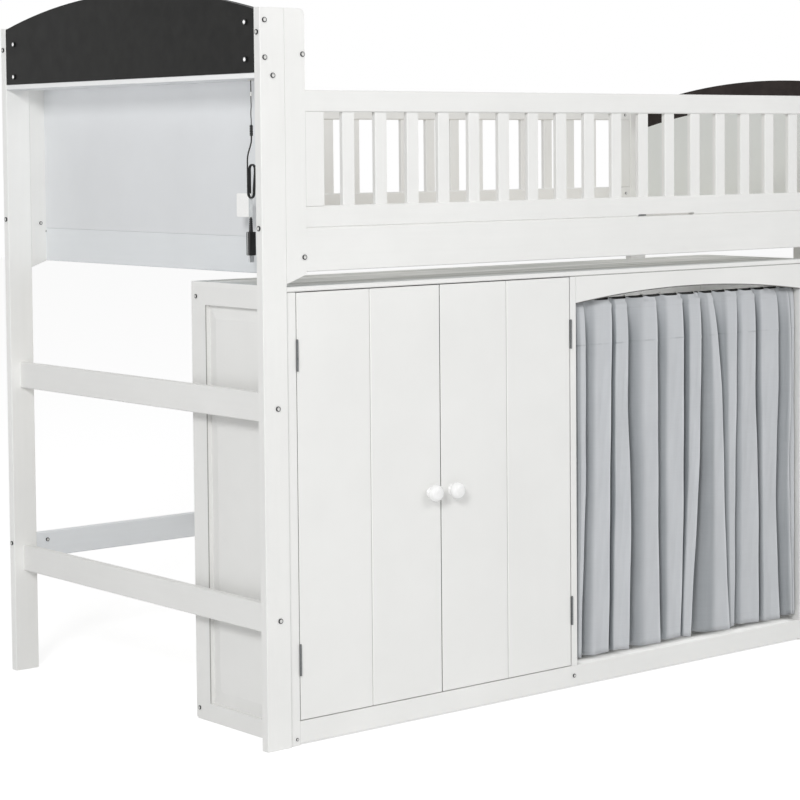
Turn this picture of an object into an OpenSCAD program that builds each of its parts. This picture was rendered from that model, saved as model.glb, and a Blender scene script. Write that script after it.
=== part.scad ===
// Mid-height loft bed of painted wood: a panelled head end with a shelf recess, a lower foot end, guard
// rails, a slatted deck, a built-in ladder, and a cabinet below with two doors and a curtained bay.
// Sizes are in millimetres. Every piece is laid out from the outer front corner of the head end, with X
// along the bed, Y from the front to the back and Z up, and the whole is then moved so that the origin
// is at the middle of the footprint, on the floor.

/* [Bed] */
// Overall length of the frame, outer face of the head to outer face of the foot
bed_l = 2160; // [2060:5:2300]
// Overall width of the frame, outer face of the front posts to outer face of the back posts
bed_w = 1060; // [980:5:1160]
// Height of the head posts
head_h = 1552; // [1500:1:1650]
// Height of the foot posts
foot_h = 1386; // [1384:1:1440]
// Thickness of the posts across the bed
post_t = 22; // [18:1:30]
// Width of the posts along the bed
post_w = 62; // [50:1:75]
// Width of the board glued to the upper part of each head post
wing_w = 52; // [40:1:60]
// Height of the lower end of that board
wing_z = 998; // [992:1:1001]
// Radius of its inner top corner
wing_round = 12; // [2:1:20]
// Easing of the edges of the boards
edge_ease = 1.2; // [0.5:0.1:2]

/* [Rails and guards] */
// Height of the underside of the side rails
rail_z = 1002; // [1002:1:1010]
// Depth of the side rails
rail_h = 92; // [80:1:100]
// Thickness of the side rails and the guard rails
rail_t = 20; // [16:1:22]
// How far the rails lie behind the face of the posts
rail_inset = 1; // [0:0.5:2]
// Depth of the guard's top and bottom rails
guard_rail_h = 46; // [36:1:56]
// Height of the open part of the guard
guard_gap_h = 197; // [170:1:200]
// Width of the guard's end stiles
guard_stile_w = 51; // [40:1:60]
// Width of the guard's slats
slat_w = 32; // [25:1:40]
// Thickness of the guard's slats
slat_t = 12; // [9:1:14]
// Distance from slat to slat
slat_pitch = 88.4; // [80:0.2:100]
// Clear width of the way in at the head of the ladder
entry_w = 333; // [300:1:360]
// Length of the shallow notch under the front guard
notch_l = 190; // [100:5:240]
// Height of that notch
notch_h = 5; // [3:0.5:8]
// Distance of the notch from the head end
notch_x = 1095; // [900:5:1200]

/* [Head and foot ends] */
// Thickness of the charcoal panels
dark_t = 18; // [12:1:19]
// Height of the charcoal panels at their ends
dark_h = 131; // [100:1:150]
// Rise of the arch of the head end
head_rise = 59; // [30:1:90]
// Rise of the arch of the foot end
foot_rise = 65; // [30:1:90]
// Thickness of the shelf
shelf_t = 12; // [10:1:18]
// Thickness of the white panels
panel_t = 10; // [8:1:14]
// How far the white panels end below the charcoal ones
panel_step = 70; // [40:1:90]
// Thickness of the rail under the white panels
deck_end_t = 18; // [14:1:20]
// Depth of the rail under the white panels
deck_end_h = 79; // [60:1:82]
// Height of the underside of that rail
deck_end_z = 994; // [985:1:1000]
// Depth of the end rails
end_rail_h = 61; // [45:1:75]
// Thickness of the end rails
end_rail_t = 20; // [16:1:24]
// How far the end rails lie behind the outer face of the posts
end_rail_inset = 25; // [15:1:35]
// Height of the underside of the upper end rail
upper_rail_z = 689; // [600:1:760]
// Height of the underside of the lower end rail
lower_rail_z = 243; // [150:1:260]
// Height of the underside of the back lower rail
back_rail_z = 269; // [200:1:320]

/* [Deck] */
// Side of the square cleats that carry the slats
cleat = 22; // [18:1:28]
// Height of the cleats above the underside of the side rails
cleat_lift = 10; // [5:1:20]
// Thickness of the deck slats
deck_slat_t = 18; // [14:1:22]
// Width of the deck slats
deck_slat_w = 66; // [50:1:90]
// Number of deck slats
deck_slats_n = 14; // [10:1:16]
// Length of the legs of the corner angles
angle_leg = 40; // [35:1:44]
// Thickness of the corner angles
angle_t = 2; // [1.5:0.1:3]
// Height of the corner angles
angle_h = 60; // [40:1:68]

/* [Ladder] */
// Depth of the ladder's stiles and treads
ladder_d = 90; // [70:1:110]
// Thickness of the stiles and treads
ladder_t = 22; // [18:1:26]
// Number of treads
treads_n = 3; // [2:1:4]
// Distance from tread to tread
tread_pitch = 250; // [220:1:260]

/* [Cabinet] */
// Gap between the cabinet and the ladder, which sets the cabinet's length
ladder_gap = 51.7; // [30:0.1:90]
// Depth of the cabinet's carcass
cab_d = 350; // [300:1:420]
// Height of the cabinet
cab_h = 972; // [940:1:976]
// How far the cabinet's face lies behind the face of the posts
cab_inset = 5; // [4:0.5:10]
// Gap between the cabinet and the head post
cab_gap = 0.3; // [0.3:0.1:1]
// Thickness of the top board
top_t = 10.5; // [9:0.5:14]
// How far the top board stands out in front and at the right
top_over = 4; // [1:0.5:4]
// Thickness of the left side's frame
side_t = 25; // [20:1:28]
// Width of the stiles of that frame
side_stile = 48; // [40:1:60]
// Depth of its rails
side_rail = 40; // [30:1:60]
// Width of the bevel round its panel
side_bevel = 30; // [15:1:40]
// Thickness of the panel's edge
side_panel_t = 6; // [5:0.5:7]
// Thickness of the divider and the right side
board_t = 18; // [15:1:20]
// Thickness of the floor board and the shelf
shelf_board_t = 15; // [12:1:18]
// Thickness of the back
back_t = 5; // [4:0.5:8]
// Height of the top of the base rail
base_h = 51.5; // [45:0.5:70]
// Gap under the base rail
base_gap = 3; // [2:0.5:8]
// Thickness of the doors, the base rail and the arched rail
door_t = 18; // [15:1:20]
// Gap round the doors
door_gap = 2.4; // [2.2:0.1:3.5]
// Gap between the two doors
meeting_gap = 2; // [1.5:0.5:4]
// Width of the groove down each door
groove_w = 5; // [3:0.5:8]
// Distance from the left side to the divider
wardrobe_w = 789; // [700:1:860]
// Rise of the arch over the curtained bay
bay_rise = 25; // [15:1:40]
// Depth of the arched rail at its ends
bay_rail_h = 65; // [60:1:90]
// Height of the shelf in the wardrobe
wardrobe_shelf_z = 820; // [600:1:880]
// Radius of the hanging rail in the wardrobe
hang_r = 12.5; // [8:0.5:15]

/* [Knobs and hinges] */
// Radius of the knobs
knob_r = 17.5; // [12:0.5:22]
// How far the knobs stand out
knob_l = 30; // [22:0.5:40]
// Distance of a knob from the meeting edge
knob_in = 30; // [22:1:60]
// Height of the knobs
knob_z = 502; // [400:1:600]
// Length of the hinges
hinge_l = 66; // [50:1:80]
// Outer radius of the hinge knuckles
knuckle_r = 2.5; // [2.5:0.1:3]
// Radius of the hinge pins
pin_r = 1.2; // [1.2:0.05:1.6]
// Thickness of the hinge leaves
leaf_t = 0.95; // [0.8:0.05:1]
// Width of the hinge leaves behind the knuckle
leaf_w = 16; // [12:0.5:16]
// Height of the middle of the lower hinges
hinge_low = 182; // [140:1:240]
// Distance of the middle of the upper hinges below the top of the cabinet
hinge_drop = 145; // [100:1:200]

/* [Curtain] */
// Radius of the curtain rod
rod_r = 4; // [3:0.5:5]
// Distance of the rod behind the arched rail
rod_in = 13; // [12:1:18]
// Distance of the rod above the ends of the arch
rod_lift = 4; // [2:0.5:6]
// Radius of the middle of a hook's wire
hook_r = 7; // [6.5:0.1:8]
// Radius of a hook's wire
wire_r = 1.1; // [0.8:0.1:1.3]
// Thickness of the cloth with its hem
cloth_t = 2.4; // [1.5:0.1:3]
// Depth of the folds at the hem, each way from the middle
fold_low = 24; // [10:1:26]
// Depth of the folds just under the header
fold_top = 8; // [3:1:10]
// Height of the flat header
header_h = 8; // [6:1:12]
// Height of the hem above the base rail
hem_lift = 7; // [4:1:20]
// Gap between the two curtains
curtain_gap = 4; // [3:1:20]
// Hooks of each curtain, with the leading one
hooks_n = 8; // [6:1:10]

/* [Fasteners] */
// Radius of a bolt's head
head_r = 5; // [4:0.5:6]
// How far a bolt's head stands out
head_proud = 2; // [1:0.5:3]
// Radius of a bolt's shank
shank_r = 2; // [1.5:0.1:2.5]
// Length of a bolt's shank
shank_l = 48; // [40:1:52]
// Clearance round a shank
shank_clear = 0.2; // [0.1:0.05:0.4]

/* [Light lead] */
// Distance of the lead's exit from the outer face of the head
lead_x = 50; // [35:1:60]
// Distance of the lead's exit from the inner face of the front post
lead_y = 82; // [60:1:120]
// Diameter of the thin lead
lead_d = 2.2; // [1.6:0.1:2.6]
// Diameter of the cable
cable_d = 3.2; // [2.6:0.1:3.4]
// Number of loops in the hank
hank_n = 2; // [2:1:4]
// Length of the straight runs of the hank
hank_run = 50; // [40:1:60]
// Radius of the bends of the hank
hank_bend = 10; // [9:0.5:12]
// Distance from loop to loop
hank_step = 3.6; // [3.5:0.1:5]

/* [Hidden] */

white = [0.93, 0.93, 0.93];
charcoal = [0.2, 0.2, 0.2];
cloth_grey = [0.76, 0.78, 0.79];
steel = [0.62, 0.62, 0.62];
black = [0.08, 0.08, 0.08];

// Places that follow from the driving sizes
knob_reach = knob_l - cab_inset;
mid_x = (bed_l - head_proud) / 2;
mid_y = (bed_w + head_proud - knob_reach) / 2;
back_y = bed_w - post_t;
bay_w = bed_w - 2 * post_t;
foot_x = bed_l - post_w;
wing_x = post_w + wing_w;
rail_top = rail_z + rail_h;
guard_low = rail_top + guard_rail_h;
guard_high = guard_low + guard_gap_h;
guard_end = foot_x - entry_w;
front_rail_y = rail_inset;
back_rail_y = bed_w - rail_inset - rail_t;
dark_z = head_h - 3 - dark_h;
shelf_z = dark_z - shelf_t;
inner_x = wing_x - panel_t - 1;
panel_z = deck_end_z + deck_end_h;
foot_dark_x = bed_l - 1 - dark_t;
foot_panel_x = foot_dark_x - panel_t;
foot_dark_z = foot_h - 10 - dark_h;
deck_z = rail_z + cleat_lift + cleat;
deck_x0 = inner_x + deck_end_t + angle_leg + 5;
deck_x1 = foot_dark_x - deck_end_t - angle_leg - 5;
cab_x = post_w + cab_gap;
cab_face = cab_inset;
cab_back_y = cab_face + cab_d;
cab_end = guard_end - ladder_t - ladder_gap;
cab_l = cab_end - cab_x;
door_x0 = cab_x + side_t;
divider_x = door_x0 + wardrobe_w;
bay_x0 = divider_x + board_t;
bay_x1 = cab_end - board_t;
cab_under_top = cab_h - top_t;
door_w = (wardrobe_w - 2 * door_gap - meeting_gap) / 2;
door_z0 = base_h + door_gap;
door_z1 = cab_under_top - door_gap;
right_door_x = door_x0 + door_gap + door_w + meeting_gap;
knuckle_clear = 0.2;
pin_clear = 0.05;
hinge_y = cab_face - knuckle_r - knuckle_clear;
left_axis_x = door_x0 + door_gap / 2;
right_axis_x = divider_x - door_gap / 2;
hinge_heights = [hinge_low, cab_h - hinge_drop];
bay_end_z = cab_under_top - bay_rail_h;
rod_y = cab_face + door_t + rod_in;
rod_z = bay_end_z + rod_lift;
seat_gap = 0.3;
hook_z = rod_z - (hook_r - wire_r - rod_r - seat_gap);
header_y = rod_y - hook_r - wire_r - seat_gap - cloth_t / 2;
cloth_top = rod_z + 3;
cloth_low = base_h + hem_lift;
curtain_end = 6;
curtain_x0 = bay_x0 + curtain_end;
curtain_x1 = bay_x1 - curtain_end;
hook_end = 6;

// Building blocks

// Board whose long edges are eased, with its low corner at the origin
module board(size, ease = edge_ease) {
    longest = max(size);
    if (size[2] == longest)
        linear_extrude(height = size[2]) eased([size[0], size[1]], ease);
    else if (size[0] == longest)
        rotate([90, 0, 90]) linear_extrude(height = size[0]) eased([size[1], size[2]], ease);
    else
        translate([0, size[1], 0]) rotate([90, 0, 0])
            linear_extrude(height = size[1]) eased([size[0], size[2]], ease);
}

// Rectangle with its corners cut
module eased(size, ease) {
    w = size[0];
    h = size[1];
    polygon([[ease, 0], [w - ease, 0], [w, ease], [w, h - ease],
             [w - ease, h], [ease, h], [0, h - ease], [0, ease]]);
}

// Radius of the circle through the ends and the top of an arch
function arch_radius(span, rise) = (span * span / 4 + rise * rise) / (2 * rise);

// Panel across the bed whose top is an arch; low and ends are heights
module arched_panel(x, thick, low, ends, rise) {
    radius = arch_radius(bay_w, rise);
    translate([x, post_t, 0]) intersection() {
        translate([0, 0, low]) cube([thick, bay_w, ends + rise - low]);
        translate([0, bay_w / 2, ends + rise - radius]) rotate([0, 90, 0])
            cylinder(r = radius, h = thick, $fn = 360);
    }
}

// Drops of the bolts below the top of the head posts, and their distance from the edges of the foot's panel
bolt_high = 26;
bolt_low = 103;
bolt_panel = 95;
bolt_wing = 51;
bolt_edge = 30;
// Bolts: place of the head's underside, direction of the shank
side_bolts = [
    for (end = [[0, 1], [bed_w, -1]], p = [
        [post_t / 2, head_h - bolt_high], [post_t / 2, head_h - bolt_low], [post_w / 2, shelf_z + shelf_t / 2],
        [inner_x + panel_t / 2, head_h - bolt_panel],
        [inner_x + 5, deck_end_z + deck_end_h / 2], [end_rail_inset + end_rail_t / 2, upper_rail_z + end_rail_h / 2],
        [end_rail_inset + end_rail_t / 2, lower_rail_z + end_rail_h / 2],
        [foot_dark_x + dark_t / 2, foot_dark_z + bolt_edge],
        [foot_dark_x + dark_t / 2, foot_dark_z + dark_h - bolt_edge],
        [foot_dark_x - deck_end_t / 2, deck_end_z + deck_end_h / 2],
        [bed_l - end_rail_inset - end_rail_t / 2, upper_rail_z + end_rail_h / 2],
        [bed_l - end_rail_inset - end_rail_t / 2, lower_rail_z + end_rail_h / 2]
    ]) [p[0], end[0], p[1], end[1]]
];
wing_bolts = [for (y = [post_t / 2, bed_w - post_t / 2], z = [head_h - bolt_wing, rail_top + 2]) [y, z]];

module bolt(bore = false) {
    radius = bore ? shank_r + shank_clear : shank_r;
    translate([0, 0, bore ? -1 : 0]) cylinder(r = radius, h = shank_l + (bore ? 2 : 0), $fn = 24);
    if (!bore)
        difference() {
            translate([0, 0, -head_proud]) cylinder(r = head_r, h = head_proud, $fn = 32);
            translate([0, 0, -head_proud - 0.1]) cylinder(r = head_r * 0.5, h = head_proud * 0.7, $fn = 6);
        }
}

// Every bolt, or the bore that each one needs
module all_bolts(bore = false) {
    for (b = side_bolts)
        translate([b[0], b[1], b[2]]) rotate([b[3] > 0 ? -90 : 90, 0, 0]) bolt(bore);
    for (b = wing_bolts)
        translate([0, b[0], b[1]]) rotate([0, 90, 0]) wing_bolt(bore);
}

// The bolts that hold the wings run through the whole post
module wing_bolt(bore) {
    extra = post_w + wing_w / 2 - shank_l;
    bolt(bore);
    translate([0, 0, shank_l]) cylinder(r = bore ? shank_r + shank_clear : shank_r, h = extra + (bore ? 1 : 0), $fn = 24);
}

module drilled() {
    difference() {
        children();
        all_bolts(bore = true);
    }
}

module in_place() {
    translate([-mid_x, -mid_y, 0]) children();
}

// Head end

module head_front_post() color(white) in_place() drilled() board([post_w, post_t, head_h]);

module head_back_post() color(white) in_place() drilled() translate([0, back_y, 0]) board([post_w, post_t, head_h]);

// Outline of a wing in X and Z, its inner top corner round and its lower end cut back to the post
function wing_outline() = concat(
    [[0, wing_z - 19], [wing_w * 0.77, wing_z - 5], [wing_w, wing_z]],
    [for (a = [0 : 15 : 90])
        [wing_w - wing_round + wing_round * cos(a), head_h - wing_round + wing_round * sin(a)]],
    [[0, head_h]]
);

module head_wings() color(white) in_place() drilled()
    for (y = [0, back_y])
        translate([post_w, y + post_t, 0]) rotate([90, 0, 0])
            linear_extrude(height = post_t) polygon(wing_outline());

module head_top_panel() color(charcoal) in_place() drilled()
    arched_panel(1, dark_t, dark_z, dark_z + dark_h, head_rise);

module head_shelf() color(white) in_place() drilled() difference() {
    translate([1, post_t, shelf_z]) board([inner_x - 1, bay_w, shelf_t]);
    translate([lead_x, post_t + lead_y, shelf_z - 1]) cylinder(r = lead_d * 2, h = shelf_t + 2, $fn = 32);
}

module head_inner_panel() color(white) in_place() drilled()
    arched_panel(inner_x, panel_t, panel_z, dark_z + dark_h - panel_step, head_rise);

module head_bottom_rail() color(white) in_place() drilled()
    translate([inner_x, post_t, deck_end_z]) board([deck_end_t, bay_w, deck_end_h]);

module head_end_rails() color(white) in_place() drilled()
    for (z = [upper_rail_z, lower_rail_z])
        translate([end_rail_inset, post_t, z]) board([end_rail_t, bay_w, end_rail_h], 2);

// Foot end

module foot_front_post() color(white) in_place() drilled() translate([foot_x, 0, 0]) board([post_w, post_t, foot_h]);

module foot_back_post() color(white) in_place() drilled()
    translate([foot_x, back_y, 0]) board([post_w, post_t, foot_h]);

module foot_top_panel() color(charcoal) in_place() drilled()
    arched_panel(foot_dark_x, dark_t, foot_dark_z, foot_dark_z + dark_h, foot_rise);

module foot_inner_panel() color(white) in_place()
    arched_panel(foot_panel_x, panel_t, panel_z, foot_dark_z + dark_h - panel_step, foot_rise);

module foot_end_rails() color(white) in_place() drilled() {
    for (z = [upper_rail_z, lower_rail_z])
        translate([bed_l - end_rail_inset - end_rail_t, post_t, z]) board([end_rail_t, bay_w, end_rail_h], 2);
    translate([foot_dark_x - deck_end_t, post_t, deck_end_z]) board([deck_end_t, bay_w, deck_end_h]);
}

// Rails, guards and deck

module side_rail(y) translate([wing_x, y, rail_z]) board([foot_x - wing_x, rail_t, rail_h], 2);

module front_side_rail() color(white) in_place() side_rail(front_rail_y);

module back_side_rail() color(white) in_place() side_rail(back_rail_y);

module back_lower_rail() color(white) in_place()
    translate([post_w, back_rail_y, back_rail_z]) board([foot_x - post_w, rail_t, end_rail_h], 2);

// The two long rails of a guard
module guard_rails(y, length) {
    for (z = [rail_top, guard_high])
        translate([wing_x, y, z]) board([length, rail_t, guard_rail_h], 2.5);
}

// The stiles at a guard's ends and the slats between them
module guard_uprights(y, length, count) {
    first = (length - (count - 1) * slat_pitch - slat_w) / 2;
    for (x = [0, length - guard_stile_w])
        translate([wing_x + x, y, guard_low]) board([guard_stile_w, rail_t, guard_gap_h], 2);
    for (i = [0 : count - 1])
        translate([wing_x + first + i * slat_pitch, y + (rail_t - slat_t) / 2, guard_low])
            board([slat_w, slat_t, guard_gap_h]);
}

front_guard_l = guard_end - wing_x;
back_guard_l = foot_x - wing_x;
// As many slats as fit with a little more than a gap left beside each stile
front_slats_n = floor((front_guard_l - 2 * guard_stile_w - 2 * 40 - slat_w) / slat_pitch) + 1;
back_slats_n = floor((back_guard_l - 2 * guard_stile_w - 2 * 60 - slat_w) / slat_pitch) + 1;

module front_guard_rails() color(white) in_place() difference() {
    guard_rails(front_rail_y, front_guard_l);
    translate([notch_x, front_rail_y - 1, rail_top - 1]) cube([notch_l, rail_t + 2, notch_h + 1]);
}

module front_guard_uprights() color(white) in_place() guard_uprights(front_rail_y, front_guard_l, front_slats_n);

module back_guard_rails() color(white) in_place() guard_rails(back_rail_y, back_guard_l);

module back_guard_uprights() color(white) in_place() guard_uprights(back_rail_y, back_guard_l, back_slats_n);

// Steel angles that tie the side rails to the ends, in the four corners of the deck
module rail_plates() color(steel) in_place()
    for (right = [0, 1], back = [0, 1])
        translate([right ? foot_dark_x - deck_end_t : inner_x + deck_end_t, back ? back_y : post_t, rail_z + 4])
            mirror([right, 0, 0]) mirror([0, back, 0]) corner_angle(right ? foot_dark_x - deck_end_t - foot_x : 0);

// One angle, its corner at the origin; clear_of is how far its leg reaches past the side rail's end
module corner_angle(clear_of) {
    pad = post_t - rail_t - rail_inset;
    cube([angle_leg, angle_t, angle_h]);
    cube([angle_t, angle_leg, angle_h]);
    translate([clear_of, -pad, 0]) cube([angle_leg - clear_of, pad + angle_t, angle_h]);
}

module deck_cleats() color(white) in_place()
    for (y = [front_rail_y + rail_t, back_rail_y - cleat])
        translate([deck_x0, y, rail_z + cleat_lift]) board([deck_x1 - deck_x0, cleat, cleat]);

module deck_slats() color([0.8, 0.68, 0.5]) in_place() {
    step = (deck_x1 - deck_x0 - deck_slat_w) / (deck_slats_n - 1);
    for (i = [0 : deck_slats_n - 1])
        translate([deck_x0 + i * step, front_rail_y + rail_t + 2, deck_z])
            board([deck_slat_w, back_rail_y - front_rail_y - rail_t - 4, deck_slat_t], 2);
}

// Ladder, built in between the guard's end and the foot post

module ladder_stiles() color(white) in_place()
    for (x = [guard_end - ladder_t, foot_x - ladder_t])
        translate([x, 0, 0]) board([ladder_t, ladder_d, rail_z], 2);

module ladder_treads() color(white) in_place()
    for (i = [1 : treads_n])
        translate([guard_end, 0, i * tread_pitch]) board([entry_w - ladder_t, ladder_d, ladder_t], 3);

// Cabinet

module cabinet_top() color(white) in_place()
    translate([cab_x, cab_face - top_over, cab_under_top])
        board([cab_l + top_over, cab_d + top_over, top_t], 2);

// The left side's frame: two stiles and two rails, one glued frame with a groove for the panel
module cabinet_left_frame() color(white) in_place() translate([cab_x, cab_face, 0]) difference() {
    cube([side_t, cab_d - back_t, cab_under_top]);
    translate([-1, side_stile, side_rail])
        cube([side_t + 2, cab_d - back_t - 2 * side_stile, cab_under_top - 2 * side_rail]);
}

// The panel, raised in its field, with a bevel down to the frame all round
module cabinet_left_panel() color(white) in_place() {
    wide = cab_d - back_t - 2 * side_stile;
    high = cab_under_top - 2 * side_rail;
    translate([cab_x, cab_face + side_stile, side_rail]) hull() {
        translate([side_t - side_panel_t - 7, 0, 0]) cube([side_panel_t, wide, high]);
        translate([7, side_bevel, side_bevel])
            cube([side_panel_t, wide - 2 * side_bevel, high - 2 * side_bevel]);
    }
}

module cabinet_right_side() color(white) in_place()
    translate([bay_x1, cab_face, 0]) board([board_t, cab_d - back_t, cab_under_top]);

module cabinet_divider() color(white) in_place()
    translate([divider_x, cab_face, base_h]) board([board_t, cab_d - back_t, cab_under_top - base_h]);

module cabinet_floor() color(white) in_place()
    translate([door_x0, cab_face + door_t, base_h - shelf_board_t])
        cube([bay_x1 - door_x0, cab_d - back_t - door_t, shelf_board_t]);

module cabinet_back() color(white) in_place()
    translate([cab_x, cab_back_y - back_t, base_gap]) cube([cab_l, back_t, cab_under_top - base_gap]);

module cabinet_base_rail() color(white) in_place()
    translate([door_x0, cab_face, base_gap]) board([bay_x1 - door_x0, door_t, base_h - base_gap]);

module cabinet_arch_rail() color(white) in_place() {
    span = bay_x1 - bay_x0;
    radius = arch_radius(span, bay_rise);
    difference() {
        translate([bay_x0, cab_face, bay_end_z]) cube([span, door_t, bay_rail_h]);
        translate([bay_x0 + span / 2, cab_face - 1, bay_end_z + bay_rise - radius]) rotate([-90, 0, 0])
            cylinder(r = radius, h = door_t + 2, $fn = 720);
    }
}

module wardrobe_shelf() color(white) in_place()
    translate([door_x0, cab_face + door_t + 12, wardrobe_shelf_z])
        board([wardrobe_w, cab_d - back_t - door_t - 12, shelf_board_t]);

module hanging_rail() color(steel) in_place()
    translate([door_x0, cab_face + cab_d / 2, wardrobe_shelf_z - 45]) rotate([0, 90, 0])
        cylinder(r = hang_r, h = wardrobe_w, $fn = 48);

// Doors, knobs and hinges

module door(x) difference() {
    translate([x, cab_face, door_z0]) board([door_w, door_t, door_z1 - door_z0], 1.5);
    translate([x + door_w / 2, cab_face, door_z0 - 1]) rotate([0, 0, 45])
        translate([-groove_w / sqrt(8), -groove_w / sqrt(8), 0])
            cube([groove_w / sqrt(2), groove_w / sqrt(2), door_z1 - door_z0 + 2]);
}

module left_door() color(white) in_place() door(door_x0 + door_gap);

module right_door() color(white) in_place() door(right_door_x);

// Turned mushroom knob: foot, neck and domed head
module knob(x) translate([x, cab_face, knob_z]) rotate([90, 0, 0]) rotate_extrude($fn = 64) polygon(concat(
    [[0, 0], [knob_r * 0.52, 0], [knob_r * 0.55, 2], [knob_r * 0.42, 5], [knob_r * 0.4, knob_l * 0.34],
     [knob_r * 0.55, knob_l * 0.42], [knob_r * 0.92, knob_l * 0.48]],
    [for (a = [0 : 10 : 90]) [knob_r * cos(a), knob_l * 0.58 + knob_l * 0.42 * sin(a)]]
));

module left_knob() color(white) in_place() knob(door_x0 + door_gap + door_w - knob_in);

module right_knob() color(white) in_place() knob(right_door_x + knob_in);

// A hinge's half: knuckles and a leaf that lies on a board's edge. side is -1 or 1 along X.
module hinge_half(x, z, side, knuckles) {
    third = hinge_l / 3;
    reach = knuckle_r + knuckle_clear;
    translate([x, hinge_y, z - hinge_l / 2]) {
        for (k = knuckles)
            translate([0, 0, k * third + 0.15]) difference() {
                union() {
                    cylinder(r = knuckle_r, h = third - 0.3, $fn = 32);
                    translate([side > 0 ? door_gap / 2 - leaf_t : -door_gap / 2, 0, 0])
                        cube([leaf_t, reach + 1, third - 0.3]);
                }
                translate([0, 0, -1]) cylinder(r = pin_r + pin_clear, h = third + 2, $fn = 32);
            }
        translate([side > 0 ? door_gap / 2 - leaf_t : -door_gap / 2, reach, 0]) cube([leaf_t, leaf_w, hinge_l]);
    }
}

module cabinet_hinge_leaves() color(steel) in_place()
    for (z = hinge_heights) {
        hinge_half(left_axis_x, z, -1, [0, 2]);
        hinge_half(right_axis_x, z, 1, [0, 2]);
    }

module left_hinge_leaves() color(steel) in_place()
    for (z = hinge_heights) hinge_half(left_axis_x, z, 1, [1]);

module right_hinge_leaves() color(steel) in_place()
    for (z = hinge_heights) hinge_half(right_axis_x, z, -1, [1]);

module hinge_pins() color(steel) in_place()
    for (x = [left_axis_x, right_axis_x], z = hinge_heights)
        translate([x, hinge_y, z - hinge_l / 2]) {
            cylinder(r = pin_r, h = hinge_l, $fn = 32);
            translate([0, 0, hinge_l]) cylinder(r = knuckle_r * 0.8, h = 1.4, $fn = 32);
        }

// Curtain

module curtain_rod() color(black) in_place()
    translate([bay_x0 + 0.3, rod_y, rod_z]) rotate([0, 90, 0]) cylinder(r = rod_r, h = bay_x1 - bay_x0 - 0.6, $fn = 32);

module rod_brackets() color(black) in_place()
    for (x = [bay_x0, bay_x1 - 5])
        translate([x, rod_y, rod_z]) rotate([0, 90, 0]) difference() {
            cylinder(r = rod_r + 5, h = 5, $fn = 32);
            translate([0, 0, -1]) cylinder(r = rod_r + 0.2, h = 7, $fn = 32);
        }

// Folds of the curtains, one row for each crest: its place as a share of the bay at the header, at two
// thirds of the height, lower down and at the hem; how far it stands out in front; how deep the valley to
// its right is; and where, between this crest and the next, the next face begins. The rows at both ends
// are the cloth's edges.
left_folds = [
    [0.000, 0.000, 0.000, 0.000, -0.3, 0.3, 0.30],
    [0.041, 0.039, 0.034, 0.012, 0.7, 0.6, 0.50],
    [0.156, 0.142, 0.134, 0.124, 0.9, 0.8, 0.32],
    [0.219, 0.212, 0.219, 0.205, 1.1, 0.9, 0.50],
    [0.350, 0.345, 0.346, 0.350, 0.9, 0.7, 0.42],
    [0.468, 0.465, 0.460, 0.445, 0.8, 1.0, 0.40],
    [0.547, 0.542, 0.525, 0.484, 0.9, 0.0, 0.00]
];
right_folds = [
    [0.547, 0.542, 0.525, 0.484, -0.7, 0.7, 0.50],
    [0.603, 0.634, 0.644, 0.665, 1.0, 0.6, 0.42],
    [0.721, 0.713, 0.705, 0.700, 0.6, 0.3, 0.35],
    [0.803, 0.801, 0.809, 0.810, 0.8, 0.9, 0.34],
    [0.912, 0.906, 0.894, 0.908, 0.9, 0.8, 0.65],
    [0.971, 0.979, 0.966, 0.982, 0.6, 0.5, 0.60],
    [1.000, 1.000, 1.000, 1.000, 0.3, 0.0, 0.00]
];
meeting = left_folds[len(left_folds) - 1][0];
curtain_w = curtain_x1 - curtain_x0;
left_pitch = (curtain_w * meeting - 2 * hook_end) / (hooks_n - 1);
right_pitch = (curtain_w * (1 - meeting) - curtain_gap - 2 * hook_end) / (hooks_n - 1);
cloth_h = cloth_top - cloth_low;
// Share of the way to the next crest in which the cloth falls back, and height of the face's near end
flank = 0.15;
face = 0.75;

function smooth(t) = t * t * (3 - 2 * t);
function between(a, b, t) = a + (b - a) * t;

// Place of a crest at a share of the height, along X
function crest_x(row, up) =
    curtain_x0 + curtain_w * lookup(up, [[0, row[3]], [0.42, row[2]], [0.72, row[1]], [1, row[0]]]);

// Drops below the top of the cloth between which the folds open, and how far their middle comes forward there
fold_start = header_h + cloth_h * 0.012;
fold_open = header_h + cloth_h * 0.12;
fold_lean = cloth_t * 1.3;

// Depth of the folds and the middle they swing about, at a drop below the top of the cloth
function fold_depth(drop) = lookup(drop, [
    [header_h, 0], [fold_start, fold_top], [fold_open, between(fold_top, fold_low, 0.35)], [cloth_h, fold_low]
]);
function fold_middle(drop) = header_y - lookup(drop, [
    [header_h, 0], [fold_start, fold_lean], [fold_open, fold_lean], [cloth_h, fold_lean * 0.15]
]);

// Height of the cloth between two crests: forward is positive
function fold_height(a, b, t) =
    t < flank ? between(a[4], -a[5], smooth(t / flank))
    : t < a[6] ? between(-a[5], face * b[4], smooth((t - flank) / (a[6] - flank)))
    : between(face * b[4], b[4], (t - a[6]) / (1 - a[6]));

// Shares of the way between two crests at which the cloth has points
function fold_steps(rise) = [
    0, 0.05, 0.1, flank, between(flank, rise, 0.33), between(flank, rise, 0.67), rise, between(rise, 1, 0.5), 0.95
];

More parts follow.
